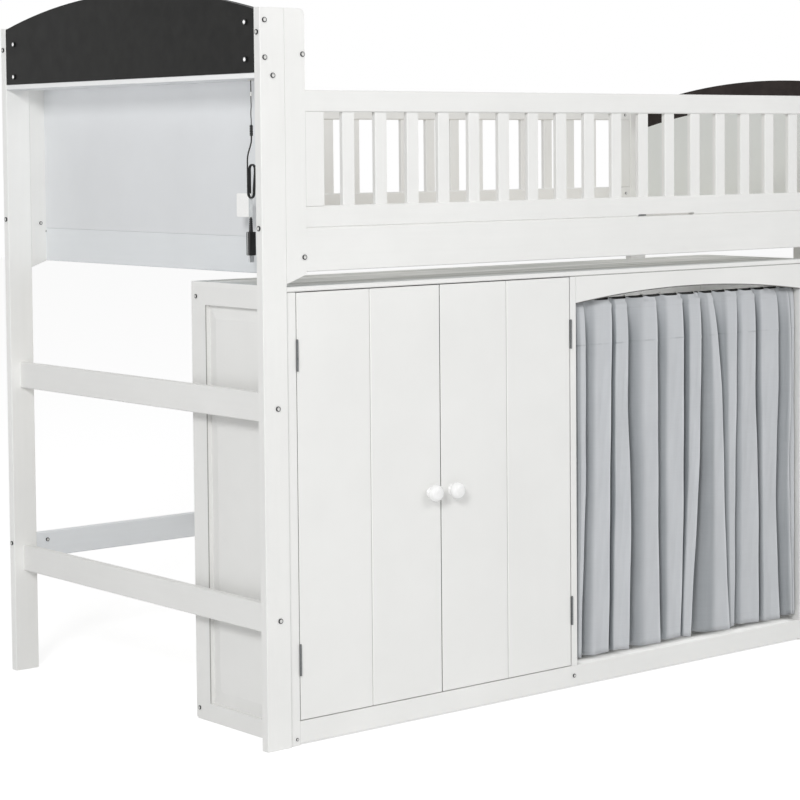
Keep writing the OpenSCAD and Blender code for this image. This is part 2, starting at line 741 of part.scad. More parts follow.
// The cloth's middle in plan at a drop below its top. shift moves its first edge, for the gap between the two.
function fold_line(folds, drop, shift) = [
    for (k = [0 : len(folds) - 1], t = k < len(folds) - 1 ? fold_steps(folds[k][6]) : [0])
        let (a = folds[k], b = folds[min(k + 1, len(folds) - 1)],
             x0 = crest_x(a, 1 - drop / cloth_h) + (k == 0 ? shift : 0), x1 = crest_x(b, 1 - drop / cloth_h))
            [between(x0, x1, t), fold_middle(drop) - fold_depth(drop) * (t == 0 ? a[4] : fold_height(a, b, t))]
];

// Half of the cloth's thickness along Y, more where the cloth runs steeply from front to back
function half_cloth(line, i) =
    let (p = line[max(i - 1, 0)], q = line[min(i + 1, len(line) - 1)])
        cloth_t / 2 * min(2, norm(q - p) / (q[0] - p[0]));

module curtain(folds, shift) {
    drops = [0, header_h, fold_start, fold_open, cloth_h * 0.28, cloth_h * 0.58, cloth_h];
    lines = [for (drop = drops) fold_line(folds, drop, shift)];
    row = len(lines[0]);
    last = row - 1;
    levels = len(drops) - 1;
    layer = row * len(drops);
    points = [
        for (side = [-1, 1], l = [levels : -1 : 0], i = [0 : last])
            [lines[l][i][0], lines[l][i][1] + side * half_cloth(lines[l], i), cloth_top - drops[l]]
    ];
    quads = concat(
        [for (l = [0 : levels - 1], s = [0 : last - 1])
            [l * row + s, (l + 1) * row + s, (l + 1) * row + s + 1, l * row + s + 1]],
        [for (l = [0 : levels - 1], s = [0 : last - 1])
            [layer + l * row + s, layer + l * row + s + 1, layer + (l + 1) * row + s + 1, layer + (l + 1) * row + s]],
        [for (s = [0 : last - 1]) [s, s + 1, layer + s + 1, layer + s]],
        [for (s = [0 : last - 1], t = levels * row) [t + s, layer + t + s, layer + t + s + 1, t + s + 1]],
        [for (l = [0 : levels - 1]) [layer + l * row, layer + (l + 1) * row, (l + 1) * row, l * row]],
        [for (l = [0 : levels - 1], e = last)
            [l * row + e, (l + 1) * row + e, layer + (l + 1) * row + e, layer + l * row + e]]
    );
    polyhedron(points, [for (q = quads, half = [0, 1]) half == 0 ? [q[0], q[1], q[2]] : [q[0], q[2], q[3]]]);
}

module left_curtain() color(cloth_grey) in_place() curtain(left_folds, 0);

module right_curtain() color(cloth_grey) in_place() curtain(right_folds, curtain_gap);

// Ring of wire that hangs on the rod and holds the cloth's header in front of it
module hook(x) translate([x, rod_y, hook_z]) rotate([0, 90, 0])
    rotate_extrude($fn = 32) translate([hook_r, 0]) circle(r = wire_r, $fn = 16);

module left_curtain_hooks() color(white) in_place()
    for (i = [0 : hooks_n - 2]) hook(curtain_x0 + hook_end + i * left_pitch);

module right_curtain_hooks() color(white) in_place()
    for (i = [0 : hooks_n - 2]) hook(curtain_x1 - hook_end - i * right_pitch);

module left_lead_hook() color(white) in_place() hook(curtain_x0 + hook_end + (hooks_n - 1) * left_pitch);

module right_lead_hook() color(white) in_place() hook(curtain_x1 - hook_end - (hooks_n - 1) * right_pitch);

// Light strip behind the charcoal panel, its tail and the grommet that its lead leaves by
exit_y = post_t + lead_y;
exit_z = shelf_z - 1.5;
strip_end = 30;
module led_strip() color([0.95, 0.94, 0.9]) in_place() {
    translate([1 + dark_t, post_t + strip_end, dark_z]) cube([1.6, bay_w - 2 * strip_end, 10]);
    translate([1 + dark_t, exit_y - 4, dark_z]) cube([lead_x - dark_t - 1, 8, 1]);
    translate([lead_x, exit_y, shelf_z]) {
        cylinder(r = lead_d * 2 - 0.2, h = shelf_t, $fn = 32);
        translate([0, 0, -1.5]) cylinder(r = lead_d * 2 + 2, h = 1.5, $fn = 32);
        translate([0, 0, shelf_t]) cylinder(r = lead_d * 2 + 2, h = 1.5, $fn = 32);
    }
}

// Tube swept along points that lie near a plane square to X
module tube(points, diameter, sides) {
    last = len(points) - 1;
    rings = [
        for (i = [0 : last])
            let (t = unit(points[min(i + 1, last)] - points[max(i - 1, 0)]),
                 u = unit(cross([1, 0, 0], t)),
                 v = cross(t, u))
            for (k = [0 : sides - 1])
                points[i] + diameter / 2 * (cos(360 * k / sides) * u + sin(360 * k / sides) * v)
    ];
    walls = [
        for (i = [0 : last - 1], k = [0 : sides - 1], half = [0, 1])
            let (n = (k + 1) % sides, a = i * sides, b = (i + 1) * sides)
            half == 0 ? [a + k, b + k, b + n] : [a + k, b + n, a + n]
    ];
    polyhedron(rings, concat([[for (k = [0 : sides - 1]) k]], walls,
                             [[for (k = [sides - 1 : -1 : 0]) last * sides + k]]));
}

function unit(v) = v / norm(v);

// Lengths along the lead, from the grommet down: lead, joint, lead, dimmer barrel, cable; then below the hank
// cable, strain relief, plug and shell
above_joint = 24;
joint_l = 9;
lead_l = 60;
barrel_l = 24;
above_hank = 70;
below_hank = 52;
relief_l = 30;
plug_l = 50;
shell_l = 15;
joint_top = exit_z - above_joint;
joint_low = joint_top - joint_l;
barrel_top = joint_low - lead_l;
barrel_low = barrel_top - barrel_l;
hank_top = barrel_low - above_hank;
hank_low = hank_top - hank_run;
strain_top = hank_low - below_hank;
plug_top = strain_top - relief_l;
plug_low = plug_top - plug_l;
// The hank hangs a little to one side, so the cable sways to its first run, and its last run hangs to the plug
hank_in_x = lead_x - 4;
hank_out_x = hank_in_x + hank_n * hank_step;
run_y = exit_y + hank_bend;

// Sway of the lead and the cable, in X and Y, each point from the straight line
lead_sway = [[0, 0], [0, 0], [1, 1], [1, 2], [0, 1], [0, 0], [0, 0]];
cable_sway = [for (t = [0, 0.04, 0.36, 0.75, 0.97, 1, 1]) [(hank_in_x - lead_x) * t, (run_y - exit_y) * t]];

// Straight hanging stretch from one height to another with a sway
function hanging(x, top, low, sway) = [
    for (i = [0 : len(sway) - 1])
        [x + sway[i][0], exit_y + sway[i][1], top + (low - top) * i / (len(sway) - 1)]
];

module cord_lead() color(black) in_place() {
    tube([[lead_x, exit_y, exit_z], [lead_x, exit_y, joint_top]], lead_d, 8);
    tube(hanging(lead_x, joint_low, barrel_top, lead_sway), lead_d, 8);
}

module cord_connectors() color(black) in_place() {
    translate([lead_x, exit_y, joint_low]) cylinder(r = 2.4, h = joint_top - joint_low, $fn = 24);
    translate([lead_x, exit_y, barrel_low]) cylinder(r = 3.7, h = barrel_top - barrel_low, $fn = 32);
}

module cord_cable() color(black) in_place() {
    tube(hanging(lead_x, barrel_low, hank_top, cable_sway), cable_d, 8);
    tube([[hank_out_x, run_y, hank_low], [hank_out_x, run_y, strain_top]], cable_d, 8);
}

// Loops of the hank: down the near run, round the bottom, up the far run with a step sideways, round the top
hank_points = concat(
    [for (i = [0 : hank_n - 1], p = concat(
        [[i, 1, hank_top]],
        [for (a = [0 : -22.5 : -180]) [i, cos(a), hank_low + hank_bend * sin(a)]],
        [for (t = [0.2 : 0.2 : 0.8]) [i + smooth(t), -1, hank_low + hank_run * t]],
        [for (a = [180 : -22.5 : 22.5]) [i + 1, cos(a), hank_top + hank_bend * sin(a)]]
    )) [hank_in_x + hank_step * p[0], exit_y + hank_bend * p[1], p[2]]],
    [[hank_out_x, run_y, hank_top], [hank_out_x, run_y, hank_low]]
);
hank_gap = min([
    for (i = [0 : len(hank_points) - 1], j = [i + 12 : 1 : len(hank_points) - 1])
        norm(hank_points[i] - hank_points[j])
]) - cable_d;
echo("least gap of the hank to itself, mm", hank_gap);

module cord_hank() color(black) in_place() tube(hank_points, cable_d, 6);

// Blank label folded round the cable
tag_w = 48;
tag_h = 50;
tag_t = 0.8;
module cord_tag() color(white) in_place()
    translate([hank_out_x, run_y, strain_top + 1]) difference() {
        union() {
            cylinder(r = cable_d / 2 + 1, h = tag_h, $fn = 24);
            translate([cable_d / 2 + 0.2, -2, 0]) cube([tag_t, tag_w, tag_h]);
        }
        translate([0, 0, -1]) cylinder(r = cable_d / 2 + 0.2, h = tag_h + 2, $fn = 24);
    }

// Moulded plug with its ribbed strain relief and metal shell
plug_size = [17, 13];
shell_size = [12, 4.5];
shell_t = 0.4;
module usb_plug() color(black) in_place() translate([hank_out_x, run_y, 0]) {
    translate([0, 0, plug_top]) cylinder(r1 = 4.4, r2 = 2.6, h = relief_l, $fn = 24);
    translate([-plug_size[0] / 2, -plug_size[1] / 2, plug_low]) board([plug_size[0], plug_size[1], plug_l], 2);
    translate([-shell_size[0] / 2, -shell_size[1] / 2, plug_low - shell_l]) difference() {
        cube([shell_size[0], shell_size[1], shell_l]);
        translate([shell_t, shell_t, -1])
            cube([shell_size[0] - 2 * shell_t, shell_size[1] - 2 * shell_t, shell_l - 1]);
    }
}

module bolts() color(steel) in_place() all_bolts();

head_front_post();
head_back_post();
head_wings();
head_top_panel();
head_shelf();
head_inner_panel();
head_bottom_rail();
head_end_rails();
foot_front_post();
foot_back_post();
foot_top_panel();
foot_inner_panel();
foot_end_rails();
front_side_rail();
back_side_rail();
back_lower_rail();
front_guard_rails();
front_guard_uprights();
back_guard_rails();
back_guard_uprights();
rail_plates();
deck_cleats();
deck_slats();
ladder_stiles();
ladder_treads();
cabinet_top();
cabinet_left_frame();
cabinet_left_panel();
cabinet_right_side();
cabinet_divider();
cabinet_floor();
cabinet_back();
cabinet_base_rail();
cabinet_arch_rail();
wardrobe_shelf();
hanging_rail();
left_door();
right_door();
left_knob();
right_knob();
cabinet_hinge_leaves();
left_hinge_leaves();
right_hinge_leaves();
hinge_pins();
curtain_rod();
rod_brackets();
left_curtain();
right_curtain();
left_curtain_hooks();
right_curtain_hooks();
left_lead_hook();
right_lead_hook();
led_strip();
cord_lead();
cord_connectors();
cord_cable();
cord_hank();
cord_tag();
usb_plug();
bolts();
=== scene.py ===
import math

import bpy
from mathutils import Matrix, Vector


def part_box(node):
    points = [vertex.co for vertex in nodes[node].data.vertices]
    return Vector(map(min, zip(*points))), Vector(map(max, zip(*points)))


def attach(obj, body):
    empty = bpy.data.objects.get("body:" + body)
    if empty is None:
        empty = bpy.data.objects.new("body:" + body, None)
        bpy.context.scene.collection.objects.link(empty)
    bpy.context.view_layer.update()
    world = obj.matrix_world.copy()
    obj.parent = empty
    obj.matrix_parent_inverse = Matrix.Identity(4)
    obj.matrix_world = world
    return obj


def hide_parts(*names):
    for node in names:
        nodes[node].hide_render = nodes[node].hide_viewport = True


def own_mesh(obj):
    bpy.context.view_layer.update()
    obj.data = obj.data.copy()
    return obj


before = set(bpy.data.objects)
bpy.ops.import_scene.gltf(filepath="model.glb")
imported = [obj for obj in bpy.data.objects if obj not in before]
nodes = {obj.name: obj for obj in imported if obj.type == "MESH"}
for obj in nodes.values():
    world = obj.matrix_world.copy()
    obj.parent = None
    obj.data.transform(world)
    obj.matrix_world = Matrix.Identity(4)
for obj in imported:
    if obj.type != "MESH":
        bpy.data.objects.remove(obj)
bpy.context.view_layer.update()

# Posts of both ends: planed pine, four of them, with a second board glued to the upper part of each
# head post. All are sprayed in the same satin white, through which the grain of the pine shows faintly.


def shade(red, green, blue):
    """A colour as a picture shows it, 0 to 255, turned by the sRGB curve into what a shader takes."""
    light = [((c / 255 + 0.055) / 1.055) ** 2.4 if c > 10 else c / 3295 for c in (red, green, blue)]
    return (*light, 1)


class Signal:
    """One value of a finish. Sums and products of signals add their Math nodes, node() adds any other."""

    def __init__(self, tree, socket=None):
        self.tree, self.socket = tree, socket

    def node(self, kind, settings=None, sockets=None, out=0):
        made = self.tree.nodes.new("ShaderNode" + kind)
        for name, value in (settings or {}).items():
            setattr(made, name, value)
        for name, value in (sockets or {}).items():
            if isinstance(value, Signal):
                self.tree.links.new(value.socket, made.inputs[name])
            else:
                made.inputs[name].default_value = value
        return Signal(self.tree, made.outputs[out])

    def maths(self, operation, *values):
        return self.node("Math", {"operation": operation}, dict(enumerate(values)))

    def __add__(self, other):
        return self.maths("ADD", self, other)

    def __sub__(self, other):
        return self.maths("SUBTRACT", self, other)

    def __rsub__(self, other):
        return self.maths("SUBTRACT", other, self)

    def __mul__(self, other):
        return self.maths("MULTIPLY", self, other)

    __radd__, __rmul__ = __add__, __mul__

    def ramp(self, low, high):
        """0 below low, 1 above high."""
        return self.node("MapRange", {}, {0: self, 1: low, 2: high})

    def band(self, middle, half):
        """1 within half of middle, 0 elsewhere, with soft edges."""
        return 1 - self.maths("ABSOLUTE", self - middle).ramp(half * 0.5, half)

    def noise(self, scale, stretch=(1, 1, 1), detail=3, roughness=0.55):
        """Noise of about one spot per 1/scale metres, read at this place and stretched along an axis."""
        place = self.node("Mapping", {}, {"Vector": self, "Scale": stretch})
        return self.node(
            "TexNoise", {}, {"Vector": place, "Scale": scale, "Detail": detail, "Roughness": roughness})

    def mix(self, low, high):
        """Colour low where this is 0 and high where it is 1."""
        return self.node("Mix", {"data_type": "RGBA"}, {0: self, 6: low, 7: high}, 2)

    def bump(self, height, strength=1.0):
        """Normal of a surface that stands out by this value times height, in metres."""
        return self.node("Bump", {}, {"Height": self, "Distance": height, "Strength": strength}, "Normal")


def finish(name):
    """A new material, the signal of a place on the object, and its shader."""
    material = bpy.data.materials.new(name)
    material.use_nodes = True
    tree = material.node_tree
    return material, Signal(tree).node("TexCoord", out="Object"), tree.nodes["Principled BSDF"]


def feed(shader, **values):
    """Puts values and signals on the shader's sockets, whose names are written with _ for a blank."""
    for name, value in values.items():
        socket = shader.inputs[name.replace("_", " ").title().replace("Ior", "IOR")]
        if isinstance(value, Signal):
            value.tree.links.new(value.socket, socket)
        else:
            socket.default_value = value


WITH_GRAIN = {"x": (0.05, 1, 1), "y": (1, 0.05, 1), "z": (1, 1, 0.05)}


def facing(place, axis, sign, from_=0.4, to=0.7):
    """1 on the faces that look along an axis, 0 on the others, going over between two shares of straight."""
    normal = place.node("NewGeometry", out="Normal")
    return (place.node("SeparateXYZ", {}, {"Vector": normal}, axis) * sign).ramp(from_, to)


def painted(name, colour, along, grain=1.0, spread=5, sheen=0.36, seams=(), edges=None):
    """Satin paint over wood whose grain runs along an axis; spread is how far the tone wanders, of 255.

    seams are (axis, place, half width, depth of tone) of bands of painted shade in the front, where boards meet
    or are grooved; edges is the tone painted on the narrow faces that look sideways: darker for painted shade,
    lighter for painted light.
    """
    material, place, shader = finish(name)
    fibre = place.noise(95, WITH_GRAIN[along], 4, 0.6)
    cloud = place.noise(5, (1, 1, 1), 3)
    peel = place.noise(700, (1, 1, 1), 2)
    light = [min(255, c + spread * 0.5) for c in colour]
    dark = [c - spread for c in colour]
    tone = cloud.ramp(0.3, 0.7) * 0.6 + fibre.ramp(0.35, 0.7) * 0.2 * grain
    tone = tone.mix(shade(*dark), shade(*light))
    # Sideways faces take their own tone: a painted shade on the doors' edges and a painted highlight on the
    # shelf's.
    if edges:
        sideways = facing(place, "X", 1, 0.8, 0.95) + facing(place, "X", -1, 0.8, 0.95)
        tone = sideways.mix(tone, shade(*edges))
    # Bands of painted shade along joints and grooves, on the faces that look to the front.
    if seams:
        shade_lines = [place.node("SeparateXYZ", {}, {"Vector": place}, axis).band(where, half) * deep
                 for axis, where, half, deep in seams]
        tone = (sum(shade_lines) * facing(place, "Y", -1)).mix(tone, shade(110, 110, 106))
    feed(
        shader,
        base_color=tone,
        roughness=sheen + cloud.ramp(0.3, 0.7) * 0.08 + fibre.ramp(0.4, 0.7) * 0.05,
        normal=(fibre * grain + peel * 0.3).bump(0.0003, 0.22),
    )
    return material


def dress(material, *names):
    """Gives CAD nodes their finish."""
    for name in names:
        for slot in nodes[name].material_slots:
            slot.material = material


WHITE = (238, 238, 236)
white_upright = painted("white_paint_upright", WHITE, "z")
dress(white_upright, "head_front_post", "head_wings", "foot_front_post", "foot_back_post")

# The head's back post takes a lighter copy of the white: painted light on a post that stands in shade.
dress(painted("white_back_post_painted_light", (249, 249, 247), "z"), "head_back_post")

# Charcoal panels that close the top of each end: medium board, arched above, sprayed charcoal and let
# in flush between the posts. The spray has dried a little blotchy.


def charcoal(name, colour):
    material, place, shader = finish(name)
    cloud = place.noise(9, (1, 1, 1), 4, 0.6)
    blotch = place.noise(24, (1, 1, 1), 4)
    speck = place.noise(650, (1, 1, 1), 2)
    amount = cloud.ramp(0.32, 0.68) * 0.55 + blotch.ramp(0.35, 0.68) * 0.45
    low = shade(*[c - 13 for c in colour])
    feed(
        shader,
        base_color=amount.mix(low, shade(*[c + 14 for c in colour])),
        roughness=0.42 + cloud.ramp(0.3, 0.7) * 0.12,
        specular_ior_level=0.19,
        normal=speck.bump(0.0003, 0.3),
    )
    return material


dress(charcoal("charcoal_paint", (17, 17, 16)), "head_top_panel")
dress(charcoal("charcoal_paint_foot", (44, 37, 35)), "foot_top_panel")

# White panels, shelf and rails of the two ends. The panels are sprayed board without grain, and the
# rails and the shelf are pine with the grain running across the bed.
white_across = painted("white_paint_across", WHITE, "y")
# The head's panel and the foot's panel take darker, tinted copies of the white: painted shade where they stand
# back in shade.
dress(painted("white_board_painted_shade", (229, 231, 233), "z", grain=0, sheen=0.42), "head_inner_panel")
dress(painted("white_board_foot_painted_shade", (234, 237, 235), "z", grain=0, sheen=0.42), "foot_inner_panel")
dress(painted("white_rail_head", (231, 234, 236), "y"), "head_bottom_rail")
# The shelf takes a darker copy of the white, a painted shade for its underside, and a lighter tone on its sideways
# faces, a painted highlight on its front edge.
dress(painted("white_shelf_painted_shade_and_light", (226, 228, 230), "y", edges=(248, 249, 249)), "head_shelf")
dress(white_across, "head_end_rails", "foot_end_rails")

# Side rails, back rail and the long rails of the guards: pine along the bed. The guards' slats and
# stiles stand between them.
white_along = painted("white_paint_along", WHITE, "x")
dress(white_along, "front_side_rail", "back_side_rail", "front_guard_rails", "back_guard_rails")
# The back lower rail takes a lighter, cooler copy of the white: painted light on a rail that lies in shade under
# the bed.
dress(painted("white_back_rail_painted_light", (240, 243, 246), "x"), "back_lower_rail")
dress(white_upright, "front_guard_uprights", "back_guard_uprights")

# Deck: planed pine slats, left bare, on painted cleats, with a pressed steel angle in each corner.


def zinc(name, colour, wear=0.5):
    """Zinc-plated steel, a little clouded."""
    material, place, shader = finish(name)
    cloud = place.noise(180, (1, 1, 1), 4, 0.65)
    scratch = place.noise(900, (1, 1, 0.08), 2)
    feed(
        shader,
        base_color=cloud.ramp(0.3, 0.75).mix(shade(*[c - 40 * wear for c in colour]), shade(*colour)),
        metallic=1.0,
        roughness=0.26 + cloud.ramp(0.3, 0.7) * 0.2,
        normal=(cloud * 0.4 + scratch * 0.6).bump(0.0001, 0.3),
    )
    return material


def bare_pine():
    material, place, shader = finish("bare_pine")
    bent = place.node("Mapping", {}, {"Vector": place, "Scale": (1, 0.06, 1)})
    ring = bent.node(
        "TexWave",
        {"wave_type": "BANDS", "bands_direction": "X"},
        {"Vector": bent, "Scale": 34, "Distortion": 7, "Detail": 3, "Detail Scale": 1.6},
        "Fac",
    )
    board = place.noise(3.2, (4.4, 0.001, 0.001), 0)
    fibre = place.noise(420, (1, 0.03, 1), 3)
    long = place.node("Mapping", {}, {"Vector": place, "Scale": (1, 0.5, 1)})
    knots = 1 - place.node("TexVoronoi", {}, {"Vector": long, "Scale": 6.5}).ramp(0.02, 0.11)
    tone = (ring * 0.55 + fibre.ramp(0.3, 0.7) * 0.25 + board.ramp(0.3, 0.7) * 0.35).ramp(0.1, 1.1)
    wood = tone.mix(shade(238, 231, 216), shade(222, 210, 188))
    feed(
        shader,
        base_color=knots.mix(wood, shade(158, 128, 98)),
        roughness=0.62 - ring * 0.12,
        normal=(fibre * 0.7 + ring * 0.3).bump(0.0005, 0.35),
    )
    return material


dress(white_along, "deck_cleats")
dress(bare_pine(), "deck_slats")
dress(zinc("zinc_angle", (186, 188, 190)), "rail_plates")

# Ladder: two stiles and three treads built in between the guard's end and the foot post.
dress(white_upright, "ladder_stiles")
dress(white_along, "ladder_treads")

# Cabinet under the bed: sprayed board, with a framed panel at its left end. Its top board lies in the
# shade of the deck, and that shade is painted into its upward face as a grey tone with long streaks.
post_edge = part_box("cabinet_left_frame")[0].x
stile_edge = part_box("cabinet_left_frame")[1].x
# Painted shade: dark bands on the front faces under the top board's overhang, where the post meets the stile and
# where the stile meets the panel.
shade_under_top = ("Z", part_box("cabinet_top")[0].z, 0.0022, 0.8)
side_seam_shade = [("X", post_edge + 0.0006, 0.0026, 0.75), ("X", stile_edge, 0.0008, 0.4)]
white_carcass = painted("white_carcass", WHITE, "z", grain=0.35, sheen=0.4, seams=side_seam_shade + [shade_under_top])
white_fascia = painted("white_fascia", WHITE, "x", grain=0.35, sheen=0.4, seams=[shade_under_top])
dress(white_carcass, "cabinet_left_frame", "cabinet_left_panel", "cabinet_right_side", "cabinet_divider",
      "cabinet_back")
dress(white_fascia, "cabinet_floor", "cabinet_base_rail", "wardrobe_shelf")


def arched_paint(rise):
    """Fascia paint with a painted shade, a dark line along the rounded lower edge of the arch, which rises by
    rise.
    """
    material = painted("white_arch_painted_shade", WHITE, "x", grain=0.35, sheen=0.4, seams=[shade_under_top])
    low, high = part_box("cabinet_arch_rail")
    half = (high.x - low.x) / 2
    radius = (half * half + rise * rise) / (2 * rise)
    tree = material.node_tree
    shader = tree.nodes["Principled BSDF"]
    place = Signal(tree).node("TexCoord", out="Object")
    across = place.node("SeparateXYZ", {}, {"Vector": place}, "X") - (low.x + half)
    above = place.node("SeparateXYZ", {}, {"Vector": place}, "Z") - (low.z + rise - radius)
    square = across * across + above * above
    off = square.maths("SQRT", square) - radius
    tone = Signal(tree, shader.inputs["Base Color"].links[0].from_socket)
    # A painted shade along the arch's lower edge.
    feed(shader, base_color=(off.band(0, 0.003) * 0.95).mix(tone, shade(66, 66, 64)))
    return material


dress(arched_paint(0.025), "cabinet_arch_rail")


def cabinet_top():
    """White like the rest at its edges; its upward face is painted grey with long streaks, a painted shade of the
    deck.
    """
    material, place, shader = finish("cabinet_top_paint")
    streak = place.noise(15, (0.12, 2.4, 1), 5, 0.62)
    fine = place.noise(150, (0.03, 1, 1), 2)
    upward_painted_shade_mask = place.node("SeparateXYZ", {}, {"Vector": place.node("NewGeometry", out="Normal")}, "Z")
    streaks = streak.ramp(0.4, 0.6) * 0.8 + fine.ramp(0.3, 0.7) * 0.2
    # Painted shade: the upward face is grey with long streaks, and the edges stay white.
    grey = streaks.mix(shade(163, 171, 172), shade(238, 241, 243))
    feed(
        shader,
        base_color=upward_painted_shade_mask.ramp(0.8, 0.95).mix(shade(*WHITE), grey),
        roughness=0.3 + streak * 0.15,
        normal=fine.bump(0.0003, 0.3),
    )
    return material


dress(cabinet_top(), "cabinet_top")
dress(zinc("chromed_rail", (214, 215, 217), 0.2), "hanging_rail")

# Doors: board with one groove down the middle, hung on two butt hinges each at their outer edges.
# Painted shade: a dark band in each door's groove, and dark narrow sideways faces for the shade in the gaps beside
# the doors.
door_groove_shade = [("X", (low.x + high.x) / 2, 0.0012, 0.4)
                for low, high in (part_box("left_door"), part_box("right_door"))]
white_door_painted_shade = painted("white_door_painted_shade", WHITE, "z", grain=0.3, spread=4, sheen=0.38, seams=door_groove_shade,
                     edges=(128, 128, 124))
dress(white_door_painted_shade, "left_door", "right_door")
dress(zinc("zinc_hinge", (124, 126, 127)), "cabinet_hinge_leaves", "left_hinge_leaves", "right_hinge_leaves",
      "hinge_pins")

# Knobs: turned beech, a mushroom head on a waisted neck, sprayed in gloss white. Each is screwed on
# through the door from behind.


def clouded(name, low, high, roughness, scale, height, stretch=(1, 1, 1), detail=2, relief=0.3, coat=0):
    """A smooth finish whose tone wanders between two close colours, with a faint relief to match."""
    material, place, shader = finish(name)
    cloud = place.noise(scale, stretch, detail)
    feed(
        shader,
        base_color=cloud.ramp(0.3, 0.7).mix(shade(*low), shade(*high)),
        roughness=roughness,
        normal=cloud.bump(height, relief),
        coat_weight=coat,
    )
    return material


def select(*pieces):
    """Selects these pieces alone and makes the first one active."""
    bpy.ops.object.select_all(action="DESELECT")
    for piece in pieces:
        piece.select_set(True)
    bpy.context.view_layer.objects.active = pieces[0]


def placed(name, data):
    """A new object in the scene with this mesh, curve, light or camera, selected."""
    piece = bpy.data.objects.new(name, data)
    bpy.context.scene.collection.objects.link(piece)
    select(piece)
    return piece


def joined(pieces):
    """One piece made of several."""
    select(*pieces)
    bpy.ops.object.join()
    return bpy.context.object


def settle(piece, name, body, slot, material, *replaced):
    """Names a finished piece, puts its place into its mesh, and fixes it to its body and material; slot is not
    used.
    """
    select(piece)
    bpy.ops.object.transform_apply(location=True, rotation=True, scale=True)
    piece.name = name
    piece.data.name = name
    piece.data.materials.clear()
    piece.data.materials.append(material)
    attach(piece, body)
    if replaced:
        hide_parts(*replaced)
    return piece


def lathe(profile, axis, centre, steps=48):
    """A turned piece: profile is (radius, distance along axis) pairs, spun round the axis through centre."""
    mesh = bpy.data.meshes.new("turned")
    mesh.from_pydata([(r, 0, h) for r, h in profile], [(i, i + 1) for i in range(len(profile) - 1)], [])
    piece = placed("turned", mesh)
    bpy.ops.object.mode_set(mode="EDIT")
    bpy.ops.mesh.select_all(action="SELECT")
    bpy.ops.mesh.spin(steps=steps, angle=math.tau, center=(0, 0, 0), axis=(0, 0, 1))
    bpy.ops.mesh.select_all(action="SELECT")
    bpy.ops.mesh.remove_doubles(threshold=0.00001)
    bpy.ops.mesh.normals_make_consistent(inside=False)
    bpy.ops.object.mode_set(mode="OBJECT")
    piece.data.transform(Vector((0, 0, 1)).rotation_difference(Vector(axis)).to_matrix().to_4x4())
    piece.data.transform(Matrix.Translation(centre))
    bpy.ops.object.shade_smooth_by_angle(angle=math.radians(35))
    return piece


def middle(node):
    """The middle of a CAD node's box."""
    low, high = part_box(node)
    return (low + high) / 2


knob_gloss = clouded("knob_gloss", (238, 238, 237), (245, 245, 245), 0.2, 60, 0.0002, stretch=(1, 9, 1),
                     relief=0.2, coat=0.4)
WIDER, LONGER = 1.1, 1.08  # against the knobs of the part's source
KNOB = [  # share of the radius, share of the reach
    (0, 0), (0.62, 0), (0.66, 0.02), (0.66, 0.09), (0.56, 0.15), (0.47, 0.22), (0.45, 0.31), (0.5, 0.38),
    (0.68, 0.43), (0.9, 0.47), (0.97, 0.52), (1, 0.58), (0.985, 0.67), (0.93, 0.77), (0.83, 0.86),
    (0.68, 0.93), (0.48, 0.975), (0.25, 0.995), (0, 1),
]
for side in ("left", "right"):
    low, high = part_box(side + "_knob")
    centre = middle(side + "_knob")
    radius, reach = (high.x - low.x) / 2 * WIDER, (high.y - low.y) * LONGER
    knob = lathe([(radius * r, reach * h) for r, h in KNOB], (0, -1, 0), (centre.x, high.y, centre.z))
    settle(knob, side + "_turned_knob", side + "_door", "knob_gloss", knob_gloss, side + "_knob")

# Curtain rod and its cups: thin steel tube, powder-coated black.


def black_finish(name, colour, gloss):
    material, place, shader = finish(name)
    cloud = place.noise(60, (1, 1, 1), 3)
    grit = place.noise(1500, (1, 1, 1), 1)
    dark, light = shade(*[c - 6 for c in colour]), shade(*[c + 8 for c in colour])
    feed(shader, base_color=cloud.ramp(0.3, 0.7).mix(dark, light), roughness=gloss + cloud * 0.12,
         normal=grit.bump(0.0002, 0.3))
    return material


dress(black_finish("rod_paint", (30, 30, 30), 0.4), "curtain_rod", "rod_brackets")

# Hooks: moulded white plastic, a ring that slides on the rod, with a foot that grips the curtain's
# header. Seven of each curtain bunch up with the cloth, and the eighth leads.
hook_plastic = clouded("hook_plastic", (226, 226, 222), (240, 240, 236), 0.35, 400, 0.0001)
rod_middle = middle("curtain_rod")
ring_low, ring_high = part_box("left_lead_hook")
wire = (ring_high.x - ring_low.x) / 2
ring = (ring_high.z - ring_low.z) / 2 - wire
ring_z = (ring_high.z + ring_low.z) / 2


def hook_at(x):
    """One hook: the ring, and two pins on its front that go through the curtain's header."""
    bpy.ops.object.select_all(action="DESELECT")
    bpy.ops.mesh.primitive_torus_add(
        location=(x, rod_middle.y, ring_z), rotation=(0, math.pi / 2, 0), major_radius=ring,
        minor_radius=wire, major_segments=32, minor_segments=12)
    bpy.ops.object.transform_apply(location=True, rotation=True, scale=True)
    piece = bpy.context.object
    bpy.ops.object.mode_set(mode="EDIT")
    for rise in (-0.0032, 0.0024):
        pin_at = (x, rod_middle.y - ring + 0.0004, ring_z + rise)
        bpy.ops.mesh.select_all(action="DESELECT")
        bpy.ops.mesh.primitive_cube_add(size=1, location=pin_at, scale=(0.0015, 0.0034, 0.0013))
        bpy.ops.mesh.bevel(offset=0.0003, segments=2, affect="EDGES")
    bpy.ops.mesh.select_all(action="SELECT")
    bpy.ops.mesh.normals_make_consistent(inside=False)
    bpy.ops.object.mode_set(mode="OBJECT")
    bpy.ops.object.shade_smooth_by_angle(angle=math.radians(40))
    return piece


